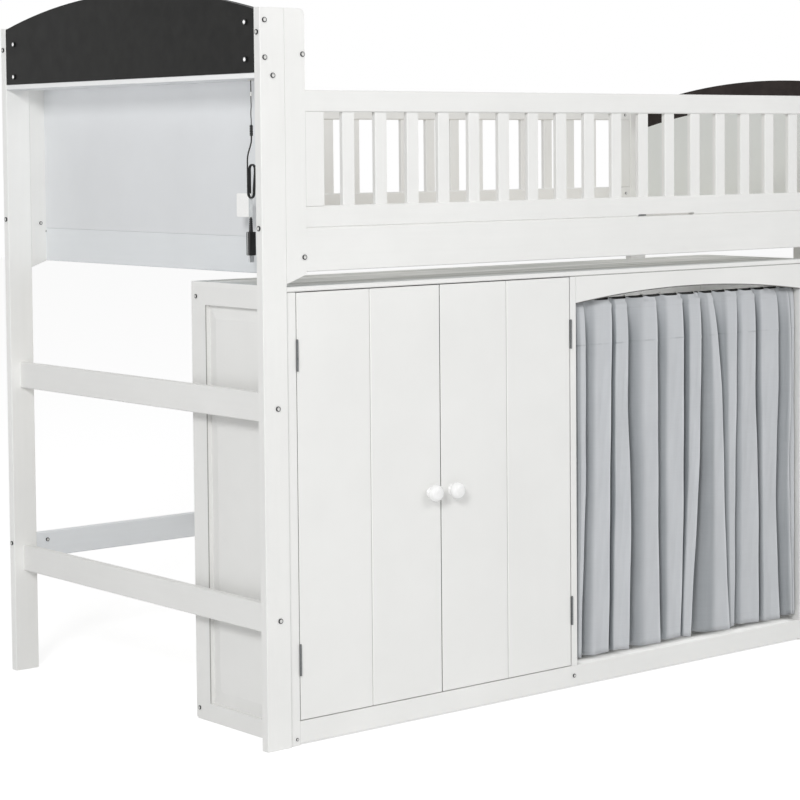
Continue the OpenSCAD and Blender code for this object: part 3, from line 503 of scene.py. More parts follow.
HOOKS = 8
hook_places = {}
for side, sign in (("left", 1), ("right", -1)):
    fixed_low, fixed_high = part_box(side + "_curtain_hooks")
    lead_x = middle(side + "_lead_hook").x
    first = fixed_low.x + wire if sign > 0 else fixed_high.x - wire
    pitch = (lead_x - first) / (HOOKS - 1)
    hook_places[side] = [first + i * pitch for i in range(HOOKS)]
    row = joined([hook_at(x) for x in hook_places[side][:-1]])
    settle(row, side + "_hook_row", "bed", "hook_plastic", hook_plastic, side + "_curtain_hooks")
    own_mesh(row)
    settle(hook_at(lead_x), side + "_leading_hook", side + "_lead", "hook_plastic", hook_plastic,
           side + "_lead_hook")

# Curtains: two panels of grey polyester, hemmed all round, gathered on the hooks. Each fold is a broad face
# that ends in a rounded crest, with a valley in its shade; that shade and a highlight on each crest are also
# painted into the cloth's colour. The crests stand where the part's source has them: place as a share of the
# bay at the header, two thirds up, lower down and at the hem; how far it stands out in front; how far back
# the valley to its right lies; and where the next face begins, as a share.
FOLDS = {
    "left": [
        (0.000, 0.000, 0.000, 0.000, -0.3, 0.3, 0.30), (0.041, 0.039, 0.034, 0.012, 0.7, 0.6, 0.50),
        (0.156, 0.142, 0.134, 0.124, 0.9, 0.8, 0.32), (0.219, 0.212, 0.219, 0.205, 1.1, 0.9, 0.50),
        (0.350, 0.345, 0.346, 0.350, 0.9, 0.7, 0.42), (0.468, 0.465, 0.460, 0.445, 0.8, 1.0, 0.40),
        (0.547, 0.542, 0.525, 0.484, 0.9, 0.0, 0.00)],
    "right": [
        (0.547, 0.542, 0.525, 0.484, -0.7, 0.7, 0.50), (0.603, 0.634, 0.644, 0.665, 1.0, 0.6, 0.42),
        (0.721, 0.713, 0.705, 0.700, 0.6, 0.3, 0.35), (0.803, 0.801, 0.809, 0.810, 0.8, 0.9, 0.34),
        (0.912, 0.906, 0.894, 0.908, 0.9, 0.8, 0.65), (0.971, 0.979, 0.966, 0.982, 0.6, 0.5, 0.60),
        (1.000, 1.000, 1.000, 1.000, 0.3, 0.0, 0.00)],
}
# The shade painted into each fold: how dark it is, how far over the next face it reaches and how soft its
# edge is, both as a share of the way to the next crest.
SHADES = {
    "left": [
        (0.8, 0.55, 0.10), (0.8, 0.41, 0.08), (1.25, 0.305, 0.025), (0.9, 0.51, 0.15), (0.9, 0.41, 0.06),
        (1.25, 0.39, 0.035)],
    "right": [
        (0.85, 0.62, 0.10), (1.0, 0.57, 0.10), (0.75, 0.30, 0.08), (1.1, 0.30, 0.05), (0.9, 0.92, 0.10),
        (0.5, 0.53, 0.05)],
}
GAP = 0.004  # between the panels where they meet
FLANK = 0.14  # share of a fold that falls from its crest into the valley
FACE = 0.74  # share of the next crest's height at which its face begins
HEADER, HEM, SIDE_HEM = 0.026, 0.03, 0.012  # where the seams run, from the cloth's edges
CREASE_DROP = 0.106  # of the packet's crease, below the top
HEM_RISE = 0.006  # the cloth ends that much above the solid's hem
CLOTH = 0.0009  # thick
PLEATED = 0.318  # half of the bay's width, over which the header is pleated
RIPPLES = ((0.0010, 29, 6), (0.0007, 71, -13), (0.0005, 160, 31))  # height, turn across a panel, turn down
THREAD, STITCH = 0.0011, 0.0042  # pitch of the weave and of the seams


def curtain_cloth(tall):
    """Plain weave with faint slubs, stitched seams and hems, painted shade in the folds and the broken packet
    crease.
    """
    material, place, shader = finish("curtain_cloth")
    thread = place.node("UVMap", {"uv_map": "cloth"}, out="UV")
    across = thread.node("SeparateXYZ", {}, {"Vector": thread}, "X")
    down = thread.node("SeparateXYZ", {}, {"Vector": thread}, "Y")
    warp = across.maths("SINE", across * (math.tau / THREAD))
    weft = down.maths("SINE", down * (math.tau / THREAD))
    weave = warp * weft * 0.5 + 0.5
    slub = thread.noise(260, (1, 0.05, 1), 2) * 0.5 + thread.noise(260, (0.05, 1, 1), 2) * 0.5
    cloud = thread.noise(11, (1, 0.4, 1), 3)
    pucker = thread.noise(75, (1, 0.2, 1), 2)
    dash = across.maths("SINE", across * (math.tau / STITCH)).ramp(-0.2, 0.2)
    side_dash = down.maths("SINE", down * (math.tau / STITCH)).ramp(-0.2, 0.2)
    seams = (down.band(HEADER, 0.001) + down.band(tall - HEM, 0.001)) * dash
    seams += across.band(SIDE_HEM, 0.001) * side_dash
    crease = down.band(CREASE_DROP, 0.0024) * thread.noise(13, (1, 0.01, 1), 2).ramp(0.46, 0.6)
    tone = cloud.ramp(0.3, 0.7) * 0.5 + slub.ramp(0.35, 0.65) * 0.2 + weave * 0.12 + 0.1
    # The crease darkens the tone: a painted shade along it.
    tone -= crease * 1.1 + seams * 0.35
    deep = thread.node("Attribute", {"attribute_name": "deep"}, out="Fac")
    near_seam = down.band(HEADER, 0.012) + down.band(tall - HEM, 0.012)
    relief = weave * 0.3 + slub * 0.5 - seams * 0.8 - crease * 1.2 + pucker * near_seam * 0.8
    # Base colour darker in the valleys and lighter on the crests: the painted shade and painted highlight of the
    # folds.
    feed(
        shader,
        base_color=(tone * 0.2 + 0.53 - deep * 0.5).mix(shade(138, 143, 147), shade(232, 234, 237)),
        roughness=0.78,
        sheen_weight=0.1,
        normal=relief.bump(0.0005, 0.4),
    )
    tree = material.node_tree
    through = place.node("BsdfTranslucent", {}, {"Color": shade(214, 218, 222)})
    both = place.node("MixShader", {}, {0: 0.1, 1: Signal(tree, shader.outputs[0]), 2: through})
    tree.links.new(both.socket, tree.nodes["Material Output"].inputs["Surface"])
    return material


def smoothstep(t):
    """0 up to t = 0 and 1 from t = 1 on, with a soft rise between."""
    t = min(1.0, max(0.0, t))
    return t * t * (3 - 2 * t)


def between(a, b, t):
    """The value at share t of the way from a to b."""
    return a + (b - a) * t


def through(x, knots):
    """Value at x on a smooth line through the knots, (x, value) pairs in rising order."""
    if x <= knots[0][0]:
        return knots[0][1]
    for k in range(len(knots) - 1):
        (xa, a), (xb, b) = knots[k], knots[k + 1]
        if x <= xb:
            before, after = knots[max(k - 1, 0)], knots[min(k + 2, len(knots) - 1)]
            slope_a = (b - before[1]) / (xb - before[0]) * (xb - xa)
            slope_b = (after[1] - a) / (after[0] - xa) * (xb - xa)
            t = (x - xa) / (xb - xa)
            return ((2 * t ** 3 - 3 * t * t + 1) * a + (t ** 3 - 2 * t * t + t) * slope_a
                    + (3 * t * t - 2 * t ** 3) * b + (t ** 3 - t * t) * slope_b)
    return knots[-1][1]


def fold_height(folds, q):
    """How far forward the cloth is at q, the number of the crest and the share of the way to the next."""
    k = min(max(int(q), 0), len(folds) - 2)
    a, b, t = folds[k], folds[k + 1], min(max(q - k, 0.0), 1.0)
    if t < FLANK:
        return between(a[4], -a[5], smoothstep(t / FLANK))
    if t < a[6]:
        return between(-a[5], FACE * b[4], smoothstep((t - FLANK) / (a[6] - FLANK)))
    return between(FACE * b[4], b[4], ((t - a[6]) / (1 - a[6])) ** 2.2)


def fold_shade(fold, t):
    """Painted shade at t, the share of the way to the next crest; below 0, a painted highlight on the crest."""
    depth, end, soft = fold
    return depth * (1 - smoothstep((t - end + soft) / (2 * soft))) - 0.45 * smoothstep((t - 0.95) / 0.04)


def thickened(piece, thick):
    """Makes a sheet of faces as thick as the real one, to both sides."""
    sheet = piece.modifiers.new("thickness", "SOLIDIFY")
    sheet.thickness, sheet.offset = thick, 0.0
    bpy.ops.object.modifier_apply(modifier=sheet.name)
    return piece


def hang_curtain(side, cloth):
    """Hangs one panel from its header down, row by row, and lets it follow its hooks."""
    folds = FOLDS[side]
    low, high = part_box(side + "_curtain")
    bay_x, bay_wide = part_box("left_curtain")[0].x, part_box("right_curtain")[1].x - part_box("left_curtain")[0].x
    bay_middle = middle("cabinet_arch_rail").x
    tall, rows = high.z - low.z - HEM_RISE, 104
    header_y = rod_middle.y - ring - wire - CLOTH
    turns = len(folds)
    steps = [k + t for k in range(len(folds) - 1) for t in
             [FLANK * i / 9 for i in range(9)]
             + [between(FLANK, folds[k][6], i / 9) for i in range(9)]
             + [between(folds[k][6], 1, 1 - (1 - i / 12) ** 1.6) for i in range(12)]] + [len(folds) - 1]
    points, walked, painted_shades = [], [], []
    for j in range(rows + 1):
        share = j / rows
        drop = tall * (0.22 * share + 0.78 * share * share)  # rows lie closer near the header
        crest = [bay_x + bay_wide * through(drop / tall, [(0, f[0]), (0.28, f[1]), (0.58, f[2]), (1, f[3])])
                 for f in folds]
        crest[0] += GAP if side == "right" else 0
        # Folds open from the hooks down, their valleys more than their crests, and lean out over the header
        opened = through(drop, [(0.004, 0), (0.016, 0.006), (0.05, 0.0115), (0.11, 0.0155), (tall, 0.0245)])
        behind = 1 + 0.8 * smoothstep((drop - 0.016) / 0.08)
        lean = through(drop, [(0.004, 0.0), (0.02, 0.003), (0.11, 0.0032), (tall, 0.0004)])
        row = []
        for q in steps:
            k = min(int(q), len(folds) - 2)
            x = between(crest[k], crest[k + 1], q - k)
            height = sum(fold_height(folds, q + d) for d in (-0.016, -0.008, 0, 0.008, 0.016)) / 5
            height *= behind if height < 0 else 1
            # The header is pleated between its hooks, away from the ends of the bay
            free = smoothstep((PLEATED - abs(x - bay_middle)) / 0.03)
            pleat = 0.0034 * free * (1 - smoothstep(drop / 0.03))
            flutter = sum(size * math.sin(over * q / turns + down * drop) for size, over, down in RIPPLES)
            grip = max(math.exp(-((x - hook) / 0.007) ** 2) for hook in hook_places[side])  # 1 at a hook
            broken = smoothstep(math.sin(36 * q / turns + 1) + 0.6)
            y = header_y - lean - opened * height + flutter * smoothstep((drop - 0.02) / 0.2)
            y -= pleat * (height + 1) * (1 - grip * (drop < 0.012))
            y -= 0.0011 * broken * math.exp(-((drop - CREASE_DROP) / 0.003) ** 2)
            z = high.z - drop * (1 - 0.0022 * (1 + math.sin(17 * q / turns + 2)))
            z -= 0.0034 * (1 - grip) * smoothstep((0.05 - drop) / 0.05)  # sags between the hooks
            row.append(Vector((x, y, z)))
        # Painted shade of each fold, fainter near the header.
        for q in steps:
            k = min(int(q), len(folds) - 2)
            painted_shades.append(fold_shade(SHADES[side][k], q - k) * (0.55 + 0.45 * smoothstep(drop / 0.12)))
        points += row
        length = [0.0]
        for a, b in zip(row, row[1:]):
            length.append(length[-1] + (b - a).xy.length)
        walked.append(length)
    columns = len(steps)
    mean = [sum(row[i] for row in walked) / len(walked) for i in range(columns)]
    faces = [(a, a + 1, a + columns + 1, a + columns)
             for j in range(rows) for a in range(j * columns, (j + 1) * columns - 1)]
    mesh = bpy.data.meshes.new(side + "_cloth")
    mesh.from_pydata(points, [], faces)
    mesh.attributes.new("deep", "FLOAT", "POINT").data.foreach_set("value", painted_shades)
    layer = mesh.uv_layers.new(name="cloth")
    for loop in mesh.loops:
        i = loop.vertex_index % columns
        from_meeting = mean[-1] - mean[i] if side == "left" else mean[i]
        layer.data[loop.index].uv = (from_meeting, high.z - points[loop.vertex_index].z)
    piece = thickened(placed(side + "_cloth", mesh), CLOTH)
    bpy.ops.object.shade_smooth()
    settle(piece, side + "_cloth", "bed", "curtain_cloth", cloth, side + "_curtain")
    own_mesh(piece)
    return piece


cloth = curtain_cloth(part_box("left_curtain")[1].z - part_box("left_curtain")[0].z - HEM_RISE)
hang_curtain("left", cloth)
hang_curtain("right", cloth)

# Light under the shelf's edge: a strip with its lead, which comes down through a grommet, ends in a
# joint and a dimmer barrel, and goes on as a cable, most of it in a hank, to a plug with a metal shell.
LEAD, CABLE = 0.0022, 0.0032  # thickness
PLACE = Vector((-1.079, -0.5185, 0))  # the outer front corner of the head, on the floor


def lead_point(x, y, z):
    """A place in millimetres from that corner, in the shared frame."""
    return Vector((x, y, z)) / 1000 + PLACE


CHIPS = 60  # to the metre
strip_finish, place, shader = finish("led_strip")
chip = place.node("SeparateXYZ", {}, {"Vector": place}, "Y")
chips = chip.maths("FRACT", chip * CHIPS).band(0.5, 0.2)
feed(shader, base_color=chips.mix(shade(232, 230, 220), shade(238, 214, 120)), roughness=0.3 + chips * 0.2)
dress(strip_finish, "led_strip")

# Places along the lead, in millimetres from the corner, as in the part's source
lead_x, exit_y = 50, 104
exit_z, joint_top, joint_low = 1404.5, 1380.5, 1371.5
barrel_top, barrel_low = 1311.5, 1287.5
hank_top, hank_low, bend, step, loops = 1217.5, 1167.5, 10, 3.6, 2
plug_top, plug_low, cable_low = 1085.5, 1035.5, 1060.5
in_x = lead_x - 4
out_x = in_x + loops * step
run_y = exit_y + bend


def hanging(top, low, sway):
    """A stretch that hangs from top to low, each point off the straight line by its sway."""
    last = len(sway) - 1
    return [lead_point(lead_x + dx, exit_y + dy, between(top, low, i / last))
            for i, (dx, dy) in enumerate(sway)]


def rounded(points, parts=6):
    """The points with more between them, on a smooth line through all."""
    line = []
    for i in range(len(points) - 1):
        a, b, c, d = (points[max(0, min(len(points) - 1, i + k))] for k in (-1, 0, 1, 2))
        for k in range(parts):
            t = k / parts
            line.append(0.5 * (2 * b + (c - a) * t + (2 * a - 5 * b + 4 * c - d) * t * t
                               + (3 * b - a - 3 * c + d) * t ** 3))
    return line + [points[-1]]


def string_up(name, line, diameter, material, replaced):
    curve = bpy.data.curves.new(name, "CURVE")
    curve.dimensions = "3D"
    spline = curve.splines.new("POLY")
    spline.points.add(len(line) - 1)
    for point, place in zip(spline.points, line):
        point.co = (*place, 1)
    curve.bevel_depth = diameter / 2
    curve.bevel_resolution = 3
    curve.use_fill_caps = True
    piece = placed(name, curve)
    curve.materials.append(material)
    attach(piece, "bed")
    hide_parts(*replaced)
    length = sum((b - a).length for a, b in zip(line, line[1:]))
    tuple(line[0])
    return piece


black_plastic = black_finish("black_plastic", (17, 17, 18), 0.4)
lead_finish, place, shader = finish("lead_sleeve")
height = place.node("SeparateXYZ", {}, {"Vector": place}, "Z")
sleeve = place.noise(300, (1, 1, 1), 2)
above = height.ramp(joint_low / 1000, joint_top / 1000)
feed(shader, base_color=above.mix(shade(66, 67, 67), shade(12, 12, 12)), roughness=0.4 + sleeve * 0.1,
     normal=sleeve.bump(0.0001, 0.3))
white_plastic = clouded("white_plastic", (228, 228, 226), (240, 240, 238), 0.4, 500, 0.0001)

joint = lathe([(0, 0), (0.0019, 0), (0.0023, 0.0006), (0.0023, 0.0032), (0.0017, 0.0038), (0.0017, 0.0052),
               (0.0023, 0.0058), (0.0023, 0.0084), (0.0019, 0.009), (0, 0.009)], (0, 0, 1),
              lead_point(lead_x, exit_y, joint_low), 24)
settle(joint, "lead_joint", "bed", "hook_plastic", white_plastic, "cord_connectors")
ribs = [(0, 0), (0.0018, 0), (0.0026, 0.0008)]
for k in range(6):
    base = 0.0015 + k * 0.0035
    ribs += [(0.0036, base), (0.0036, base + 0.0022), (0.0028, base + 0.0026), (0.0028, base + 0.0032)]
ribs += [(0.0034, 0.0226), (0.0026, 0.0235), (0, 0.024)]
barrel = lathe(ribs, (0, 0, 1), lead_point(lead_x, exit_y, barrel_low), 32)
settle(barrel, "dimmer_barrel", "bed", "black_plastic", black_plastic, "cord_connectors")

lead_line = [lead_point(lead_x, exit_y, exit_z), lead_point(lead_x, exit_y, joint_top)] + hanging(
    joint_low, barrel_top, [(0, 0), (0, 0), (1, 1), (1, 2), (0, 1), (0, 0), (0, 0)])
string_up("strip_lead", rounded(lead_line), LEAD, lead_finish, ["cord_lead"])

aside, back = in_x - lead_x, run_y - exit_y
sway = [(aside * t, back * t) for t in (0, 0.04, 0.36, 0.75, 0.97, 1, 1)]
cable_line = hanging(barrel_low, hank_top, sway)


def bent(x, z, degrees):
    """Points on a bend of the hank about height z, one for each angle."""
    return [lead_point(x, exit_y + bend * math.cos(math.radians(a)), z + bend * math.sin(math.radians(a)))
            for a in degrees]


tenths = [t / 10 for t in range(1, 10)]
for turn in range(loops):
    x = in_x + step * turn
    cable_line += [lead_point(x, run_y, between(hank_top, hank_low, t)) for t in tenths]
    cable_line += bent(x, hank_low, range(0, -181, -30))
    cable_line += [lead_point(x + step * smoothstep(t), exit_y - bend, between(hank_low, hank_top, t))
                   for t in tenths]
    cable_line += bent(x + step, hank_top, range(180, -1, -30))
cable_line += [lead_point(out_x, run_y, between(hank_top, cable_low, i / 30)) for i in range(1, 31)]

# Plug: overmoulded body with a light stripe, a ribbed strain relief, and a pressed shell that is hollow
# at its end and has its tongue inside.


def block(centre, size):
    """A box to be worked on, its place already in its mesh."""
    bpy.ops.object.select_all(action="DESELECT")
    bpy.ops.mesh.primitive_cube_add(size=1, location=centre, scale=size)
    bpy.ops.object.transform_apply(location=True, rotation=True, scale=True)
    return bpy.context.object


def edit_faces(piece, wanted):
    """Opens a piece in edit mode with the faces selected for which wanted is true."""
    bpy.ops.object.mode_set(mode="EDIT")
    bpy.ops.mesh.select_mode(type="FACE")
    bpy.ops.mesh.select_all(action="DESELECT")
    bpy.ops.object.mode_set(mode="OBJECT")
    for face in piece.data.polygons:
        face.select = wanted(face)
    bpy.ops.object.mode_set(mode="EDIT")


plug_middle = lead_point(out_x, run_y, (plug_top + plug_low) / 2)
plug_body = block(plug_middle, (0.017, 0.013, (plug_top - plug_low) / 1000))
bpy.ops.object.mode_set(mode="EDIT")
bpy.ops.mesh.select_all(action="SELECT")
bpy.ops.mesh.bevel(offset=0.0019, segments=4, affect="EDGES")
bpy.ops.object.mode_set(mode="OBJECT")
bpy.ops.object.shade_smooth_by_angle(angle=math.radians(30))
plug_finish, place, shader = finish("plug_moulding")
grit = place.noise(1500, (1, 1, 1), 1)
stripe = place.node("SeparateXYZ", {}, {"Vector": place}, "Y").band(lead_point(0, run_y + 0.9, 0).y, 0.0013)
feed(shader, base_color=(stripe * facing(place, "X", -1)).mix(shade(19, 19, 20), shade(206, 207, 208)),
     roughness=0.38 + grit * 0.1, normal=grit.bump(0.0002, 0.3))
settle(plug_body, "plug_body", "bed", "black_plastic", plug_finish, "usb_plug")
rings = [(0, 0), (0.0043, 0)]
for k in range(7):
    wide, base = 0.0046 - 0.0002 * k, 0.0012 + k * 0.004
    narrow = wide - 0.0009
    rings += [(wide, base), (wide, base + 0.0024), (narrow, base + 0.0028), (narrow, base + 0.0038)]
rings += [(0.0022, 0.0292), (0.0018, 0.03), (0, 0.03)]
relief = lathe(rings, (0, 0, 1), lead_point(out_x, run_y, plug_top - 0.4), 24)
settle(relief, "plug_strain_relief", "bed", "black_plastic", black_plastic, "usb_plug")
shell = block(lead_point(out_x, run_y, plug_low - 7.25), (0.012, 0.0045, 0.0145))
edit_faces(shell, lambda face: face.normal.z < -0.5)
bpy.ops.mesh.inset(thickness=0.0004, depth=0)
bpy.ops.mesh.extrude_region_move(TRANSFORM_OT_translate={"value": (0, 0, 0.013)})
bpy.ops.mesh.inset(thickness=0.0008, depth=0)
bpy.ops.mesh.extrude_region_move(TRANSFORM_OT_translate={"value": (0, 0, -0.011)})
bpy.ops.object.mode_set(mode="OBJECT")
settle(shell, "plug_shell", "bed", "steel", zinc("plug_steel", (226, 228, 230), 0.6), "usb_plug")

# Label: a blank white flag of stiff film, folded round the cable and stuck to itself, and the clear part
# of the film on the cable's other side.
tag_low, tag_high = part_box("cord_tag")
tag_tall = tag_high.z - tag_low.z
paper = clouded("label_film", (248, 248, 246), (254, 254, 253), 0.5, 240, 0.0002, detail=3)
clear_film = clouded("label_clear_film", (196, 200, 201), (212, 215, 216), 0.3, 160, 0.0003)
cable_at = lead_point(out_x, run_y, 0)
wrap = lathe([(0.0017, 0), (0.00245, 0), (0.00245, tag_tall), (0.0017, tag_tall), (0.0017, 0)], (0, 0, 1),
             (cable_at.x, cable_at.y, tag_low.z), 24)
settle(wrap, "label_wrap", "bed", "label", paper, "cord_tag")


def film_piece(across, down, thick, lay):
    """A sheet of film of so many faces; lay gives the place for each share of the way across and up."""
    bpy.ops.object.select_all(action="DESELECT")
    bpy.ops.mesh.primitive_grid_add(x_subdivisions=across, y_subdivisions=down, size=1)
    piece = bpy.context.object
    for vertex in piece.data.vertices:
        vertex.co = lay(vertex.co.x + 0.5, vertex.co.y + 0.5)
    thickened(piece, thick)
    bpy.ops.object.shade_smooth_by_angle(angle=math.radians(40))
    return piece


def flag_place(u, v):
    v = 0.5 + (v - 0.5) * (1 - 0.07 * smoothstep((u - 0.9) / 0.1) ** 2)
    bulge = 0.0009 * math.sin(math.pi * u) * (1 - 0.3 * v)
    y = between(lead_point(0, run_y - 1.5, 0).y, tag_high.y + 0.008, u)
    return tag_high.x - 0.0005 - bulge, y, tag_low.z + tag_tall * v


def clear_place(u, v):
    y = lead_point(0, run_y - 11 + 14 * u, 0).y
    return tag_low.x - 0.0004 - 0.0006 * math.sin(math.pi * u), y, tag_low.z + tag_tall * (0.02 + 0.88 * v)


flag = settle(film_piece(26, 30, 0.00035, flag_place), "label_flag", "bed", "label", paper, "cord_tag")
film = settle(film_piece(14, 20, 0.0003, clear_place), "label_film", "bed", "label", clear_film, "cord_tag")

string_up("plug_cable", rounded(cable_line, 3), CABLE, black_plastic,
          ["cord_cable", "cord_hank"])

# Bolts that draw the ends together, and the small screws of the panels and the cabinet: zinc-plated,
# with a hexagon socket.
HEAD_DEPTH, SOCKET_WIDE, SOCKET_DEEP = 0.44, 0.54, 0.38  # shares of a head's radius


def screw_head(place, axis, radius):
    """A low domed head with its hexagon socket, its foot on the surface at place."""
    depth = radius * HEAD_DEPTH
    bpy.ops.object.select_all(action="DESELECT")
    bpy.ops.mesh.primitive_cylinder_add(vertices=24, radius=radius, depth=depth, location=(0, 0, depth / 2))
    piece = bpy.context.object
    bpy.ops.object.transform_apply(location=True, rotation=True, scale=True)
    edit_faces(piece, lambda face: face.normal.z > 0.9)
    bpy.ops.mesh.inset(thickness=radius * 0.16, depth=radius * 0.08)
    bpy.ops.mesh.inset(thickness=radius * 0.3, depth=radius * 0.02)
    bpy.ops.object.mode_set(mode="OBJECT")
    sixth = math.pi / 3
    for vertex in piece.data.vertices:
        if vertex.co.z > radius * 0.5 and vertex.co.xy.length < radius * 0.6:
            angle = math.atan2(vertex.co.y, vertex.co.x)
            reach = radius * SOCKET_WIDE * math.cos(sixth / 2) / math.cos(angle % sixth - sixth / 2)
            vertex.co.x, vertex.co.y = reach * math.cos(angle), reach * math.sin(angle)
    bpy.ops.object.mode_set(mode="EDIT")
    bpy.ops.mesh.extrude_region_move(TRANSFORM_OT_translate={"value": (0, 0, -radius * SOCKET_DEEP)})
    bpy.ops.object.mode_set(mode="OBJECT")
    ring = piece.data.attributes.new("ring", "FLOAT", "POINT")
    for vertex in piece.data.vertices:
        ring.data[vertex.index].value = float(vertex.co.xy.length > radius * 0.6)
    piece.data.transform(Vector((0, 0, 1)).rotation_difference(Vector(axis)).to_matrix().to_4x4())
    piece.data.transform(Matrix.Translation(place))
    bpy.ops.object.shade_smooth_by_angle(angle=math.radians(30))
    return piece


def zinc_with_painted_rim_shade(name, bright):
    """Zinc, bright in the socket and dark on the rim round it, a painted shade, by the heads' own ring attribute.
    """
    material, place, shader = finish(name)
    cloud = place.noise(400, (1, 1, 1), 3)
    ring = place.node("Attribute", {"attribute_name": "ring"}, out="Fac")
    # Painted shade: the rim round each head is dark.
    feed(
        shader,
        base_color=ring.mix(shade(*bright), shade(34, 35, 36)),
        metallic=0.3,
        roughness=0.3 + cloud * 0.2,
        normal=cloud.bump(0.0001, 0.3),
    )
    return material


def bolt_places():
    """The middle of each bolt head of the CAD, at its outer face, and the way that it looks."""
    mesh, (low, high), found = nodes["bolts"].data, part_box("bolts"), []
    for face in mesh.polygons:
        for axis, plane, sign in ((0, low.x, -1), (1, low.y, -1), (1, high.y, 1)):
            if face.normal[axis] * sign < 0.999 or abs(face.center[axis] - plane) > 0.0001:
                continue
            corners = [mesh.vertices[v].co for v in face.vertices]
            same = [f for f in found if f[0] == (axis, sign) and (f[1][0] - corners[0]).length < 0.02]
            if same:
                same[0][1].extend(corners)
            else:
                found.append(((axis, sign), corners))
    for (axis, sign), corners in found:
        head = Vector([(min(c[k] for c in corners) + max(c[k] for c in corners)) / 2 for k in range(3)])
        yield head, Vector([sign * (k == axis) for k in range(3)])


rail_y = (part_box("back_lower_rail")[0].y - PLACE.y) * 1000
side_x = (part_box("cabinet_left_frame")[0].x - PLACE.x) * 1000
panel_x = (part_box("head_top_panel")[0].x - PLACE.x) * 1000
FRONT, HEAD = (0, -1, 0), (-1, 0, 0)
ON_PANEL = [(HEAD, panel_x, y, z, 6) for y, z in ((53, 1523), (53, 1446), (1000, 1513), (1001, 1436))]
SMALL = [  # way that the head looks, its place and its radius, in millimetres
    (FRONT, 79, 5, 14, 3.4), (FRONT, 1051, 1, 1333, 3), (FRONT, 1053, 1, 1150, 3),
    (FRONT, 88, 1038, 1085, 4), (FRONT, 104, 1038, 1065, 2.6), (FRONT, 883, 5, 28, 4.4),
    (FRONT, 92, rail_y, 311, 4.6), (HEAD, side_x, 337, 939, 4.5), (HEAD, side_x, 343, 25, 4.5),
    (HEAD, 0, 1049, 311, 5),
]
BOLT, SUNK = 0.0054, 0.002
on_panel = joined([screw_head(lead_point(x, y, z), axis, r / 1000) for axis, x, y, z, r in ON_PANEL])
settle(on_panel, "face_screws", "bed", "steel", zinc_with_painted_rim_shade("zinc_face_bolt", (255, 255, 255)))
bolt_zinc = zinc_with_painted_rim_shade("zinc_bolt", (226, 226, 224))
bolts = joined([screw_head(place - axis * SUNK, axis, BOLT) for place, axis in bolt_places()])
settle(bolts, "bolt_heads", "bed", "steel", bolt_zinc, "bolts")
small = joined([screw_head(lead_point(x, y, z), axis, r / 1000) for axis, x, y, z, r in SMALL])
settle(small, "small_screws", "bed", "steel", bolt_zinc)

# Studio: a white floor that keeps the shadow, a white surround, two large soft lamps, and four small
# ones where the photograph has light: in the bay, under the hem, in the head's recess and under the deck.
FLOOR_GLOW, AMBIENT = 0.66, 0.475  # how bright the floor looks, and how much light the surround gives
bpy.ops.object.select_all(action="DESELECT")
bpy.ops.mesh.primitive_plane_add(size=40, location=(0, 0, -0.0005))
floor = bpy.context.object
floor.name = "studio_floor"


def seen(signal):
    """1 for a ray from the camera, in a mirror or through glass, and 0 for the light on the object."""
    kinds = ("Is Camera Ray", "Is Glossy Ray", "Is Transmission Ray")
    total = sum(signal.node("LightPath", out=kind) for kind in kinds)
    return total.maths("MINIMUM", total, 1)


material = bpy.data.materials.new("studio_floor")
material.use_nodes = True
tree = material.node_tree
tree.nodes.remove(tree.nodes["Principled BSDF"])
start = Signal(tree)
lit = start.node("BsdfDiffuse", {}, {"Color": (0.62, 0.62, 0.62, 1)})
glow = start.node("Emission", {}, {"Color": (1, 1, 1, 1), "Strength": FLOOR_GLOW})
plain = start.node("BsdfDiffuse", {}, {"Color": (0.8, 0.8, 0.8, 1)})
both = start.node("AddShader", {}, {0: lit, 1: glow})
mixed = start.node("MixShader", {}, {0: seen(start), 1: plain, 2: both})
tree.links.new(mixed.socket, tree.nodes["Material Output"].inputs["Surface"])
floor.data.materials.append(material)

world = bpy.data.worlds.new("studio")
bpy.context.scene.world = world
world.use_nodes = True
tree = world.node_tree
start = Signal(tree)
strength = seen(start)
background = tree.nodes["Background"]
background.inputs["Color"].default_value = (1, 1, 1, 1)
tree.links.new((AMBIENT + strength * (1 - AMBIENT)).socket, background.inputs["Strength"])


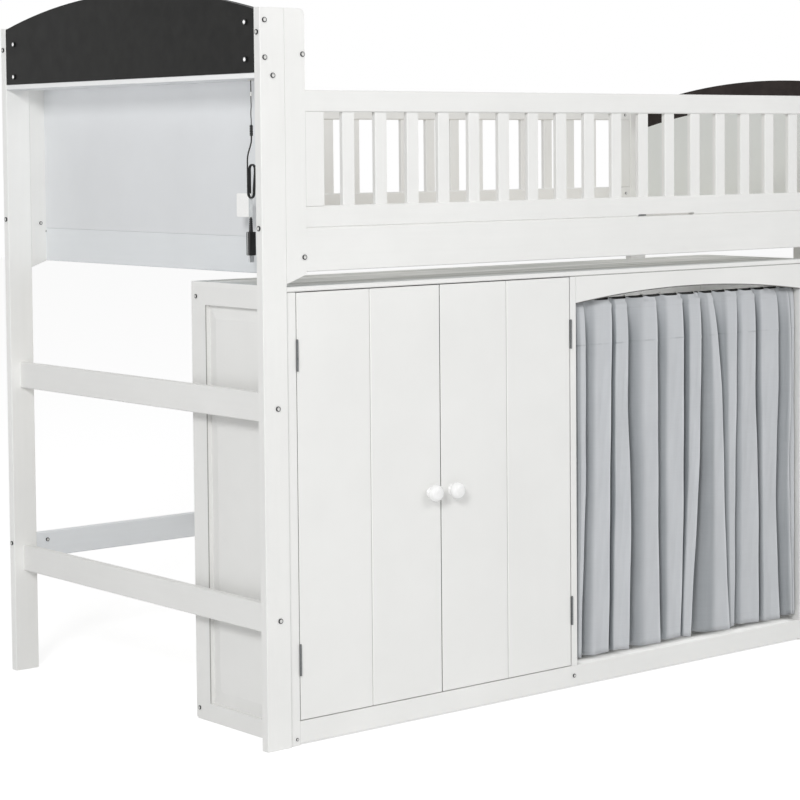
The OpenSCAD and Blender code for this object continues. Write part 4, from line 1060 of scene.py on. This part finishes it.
def lamp(name, place, aim, size, power):
    """A soft rectangular lamp, in watts, that the camera doesn't see."""
    light = bpy.data.lights.new(name, "AREA")
    light.shape, light.size, light.size_y, light.energy = "RECTANGLE", *size, power
    fitting = placed(name, light)
    fitting.location = place
    fitting.visible_camera = False
    fitting.rotation_euler = (Vector(aim) - Vector(place)).to_track_quat("-Z", "Y").to_euler()


lamp("key", (-5.6, -4.3, 3.6), (0, 0, 0.8), (1.5, 1.5), 196)
lamp("front_fill", (1.3, -6.7, 4.3), (0, 0, 0.8), (4.4, 3.4), 122)
lamp("bay_fill", (0.2, -0.4, 0.94), (0.2, -0.17, 0.84), (0.66, 0.04), 0.42)
lamp("sill_fill", (0.2, -0.4935, 0.062), (0.2, -0.4935, 0), (0.74, 0.038), 0.06)
lamp("recess_fill", (-1.030, 0.07, 1.400), (-0.976, 0.07, 1.36), (0.87, 0.01), 0.05)
lamp("deck_fill", (-0.1, 0, 0.998), (-0.1, 0, 0), (1.7, 0.8), 0.9)

# Camera: where the photographer stood, fitted to the photograph's edges. The focal length and the middle
# of the view are in pixels of a picture of 800 by 800.
YAW, PITCH, ROLL = (math.radians(a) for a in (-40.118, -3.244, -0.447))
FOCAL, ACROSS, DOWN, PICTURE, SENSOR = 2341.484, 440, 280, 800, 36
camera_data = bpy.data.cameras.new("camera")
camera = placed("camera", camera_data)
forward = Vector((-math.sin(YAW) * math.cos(PITCH), math.cos(YAW) * math.cos(PITCH), math.sin(PITCH)))
level = Vector((math.cos(YAW), math.sin(YAW), 0))
upright = level.cross(forward)
right = level * math.cos(ROLL) + upright * math.sin(ROLL)
up = upright * math.cos(ROLL) - level * math.sin(ROLL)
camera.matrix_world = Matrix((
    (right.x, up.x, -forward.x, -3.91092),
    (right.y, up.y, -forward.y, -4.44758),
    (right.z, up.z, -forward.z, 1.260945),
    (0, 0, 0, 1),
))
camera_data.sensor_width = SENSOR
camera_data.lens = FOCAL * SENSOR / PICTURE
camera_data.shift_x = 0.5 - ACROSS / PICTURE
camera_data.shift_y = DOWN / PICTURE - 0.5
camera_data.clip_end = 100
bpy.context.scene.camera = camera
bpy.context.scene.view_settings.view_transform = "Standard"
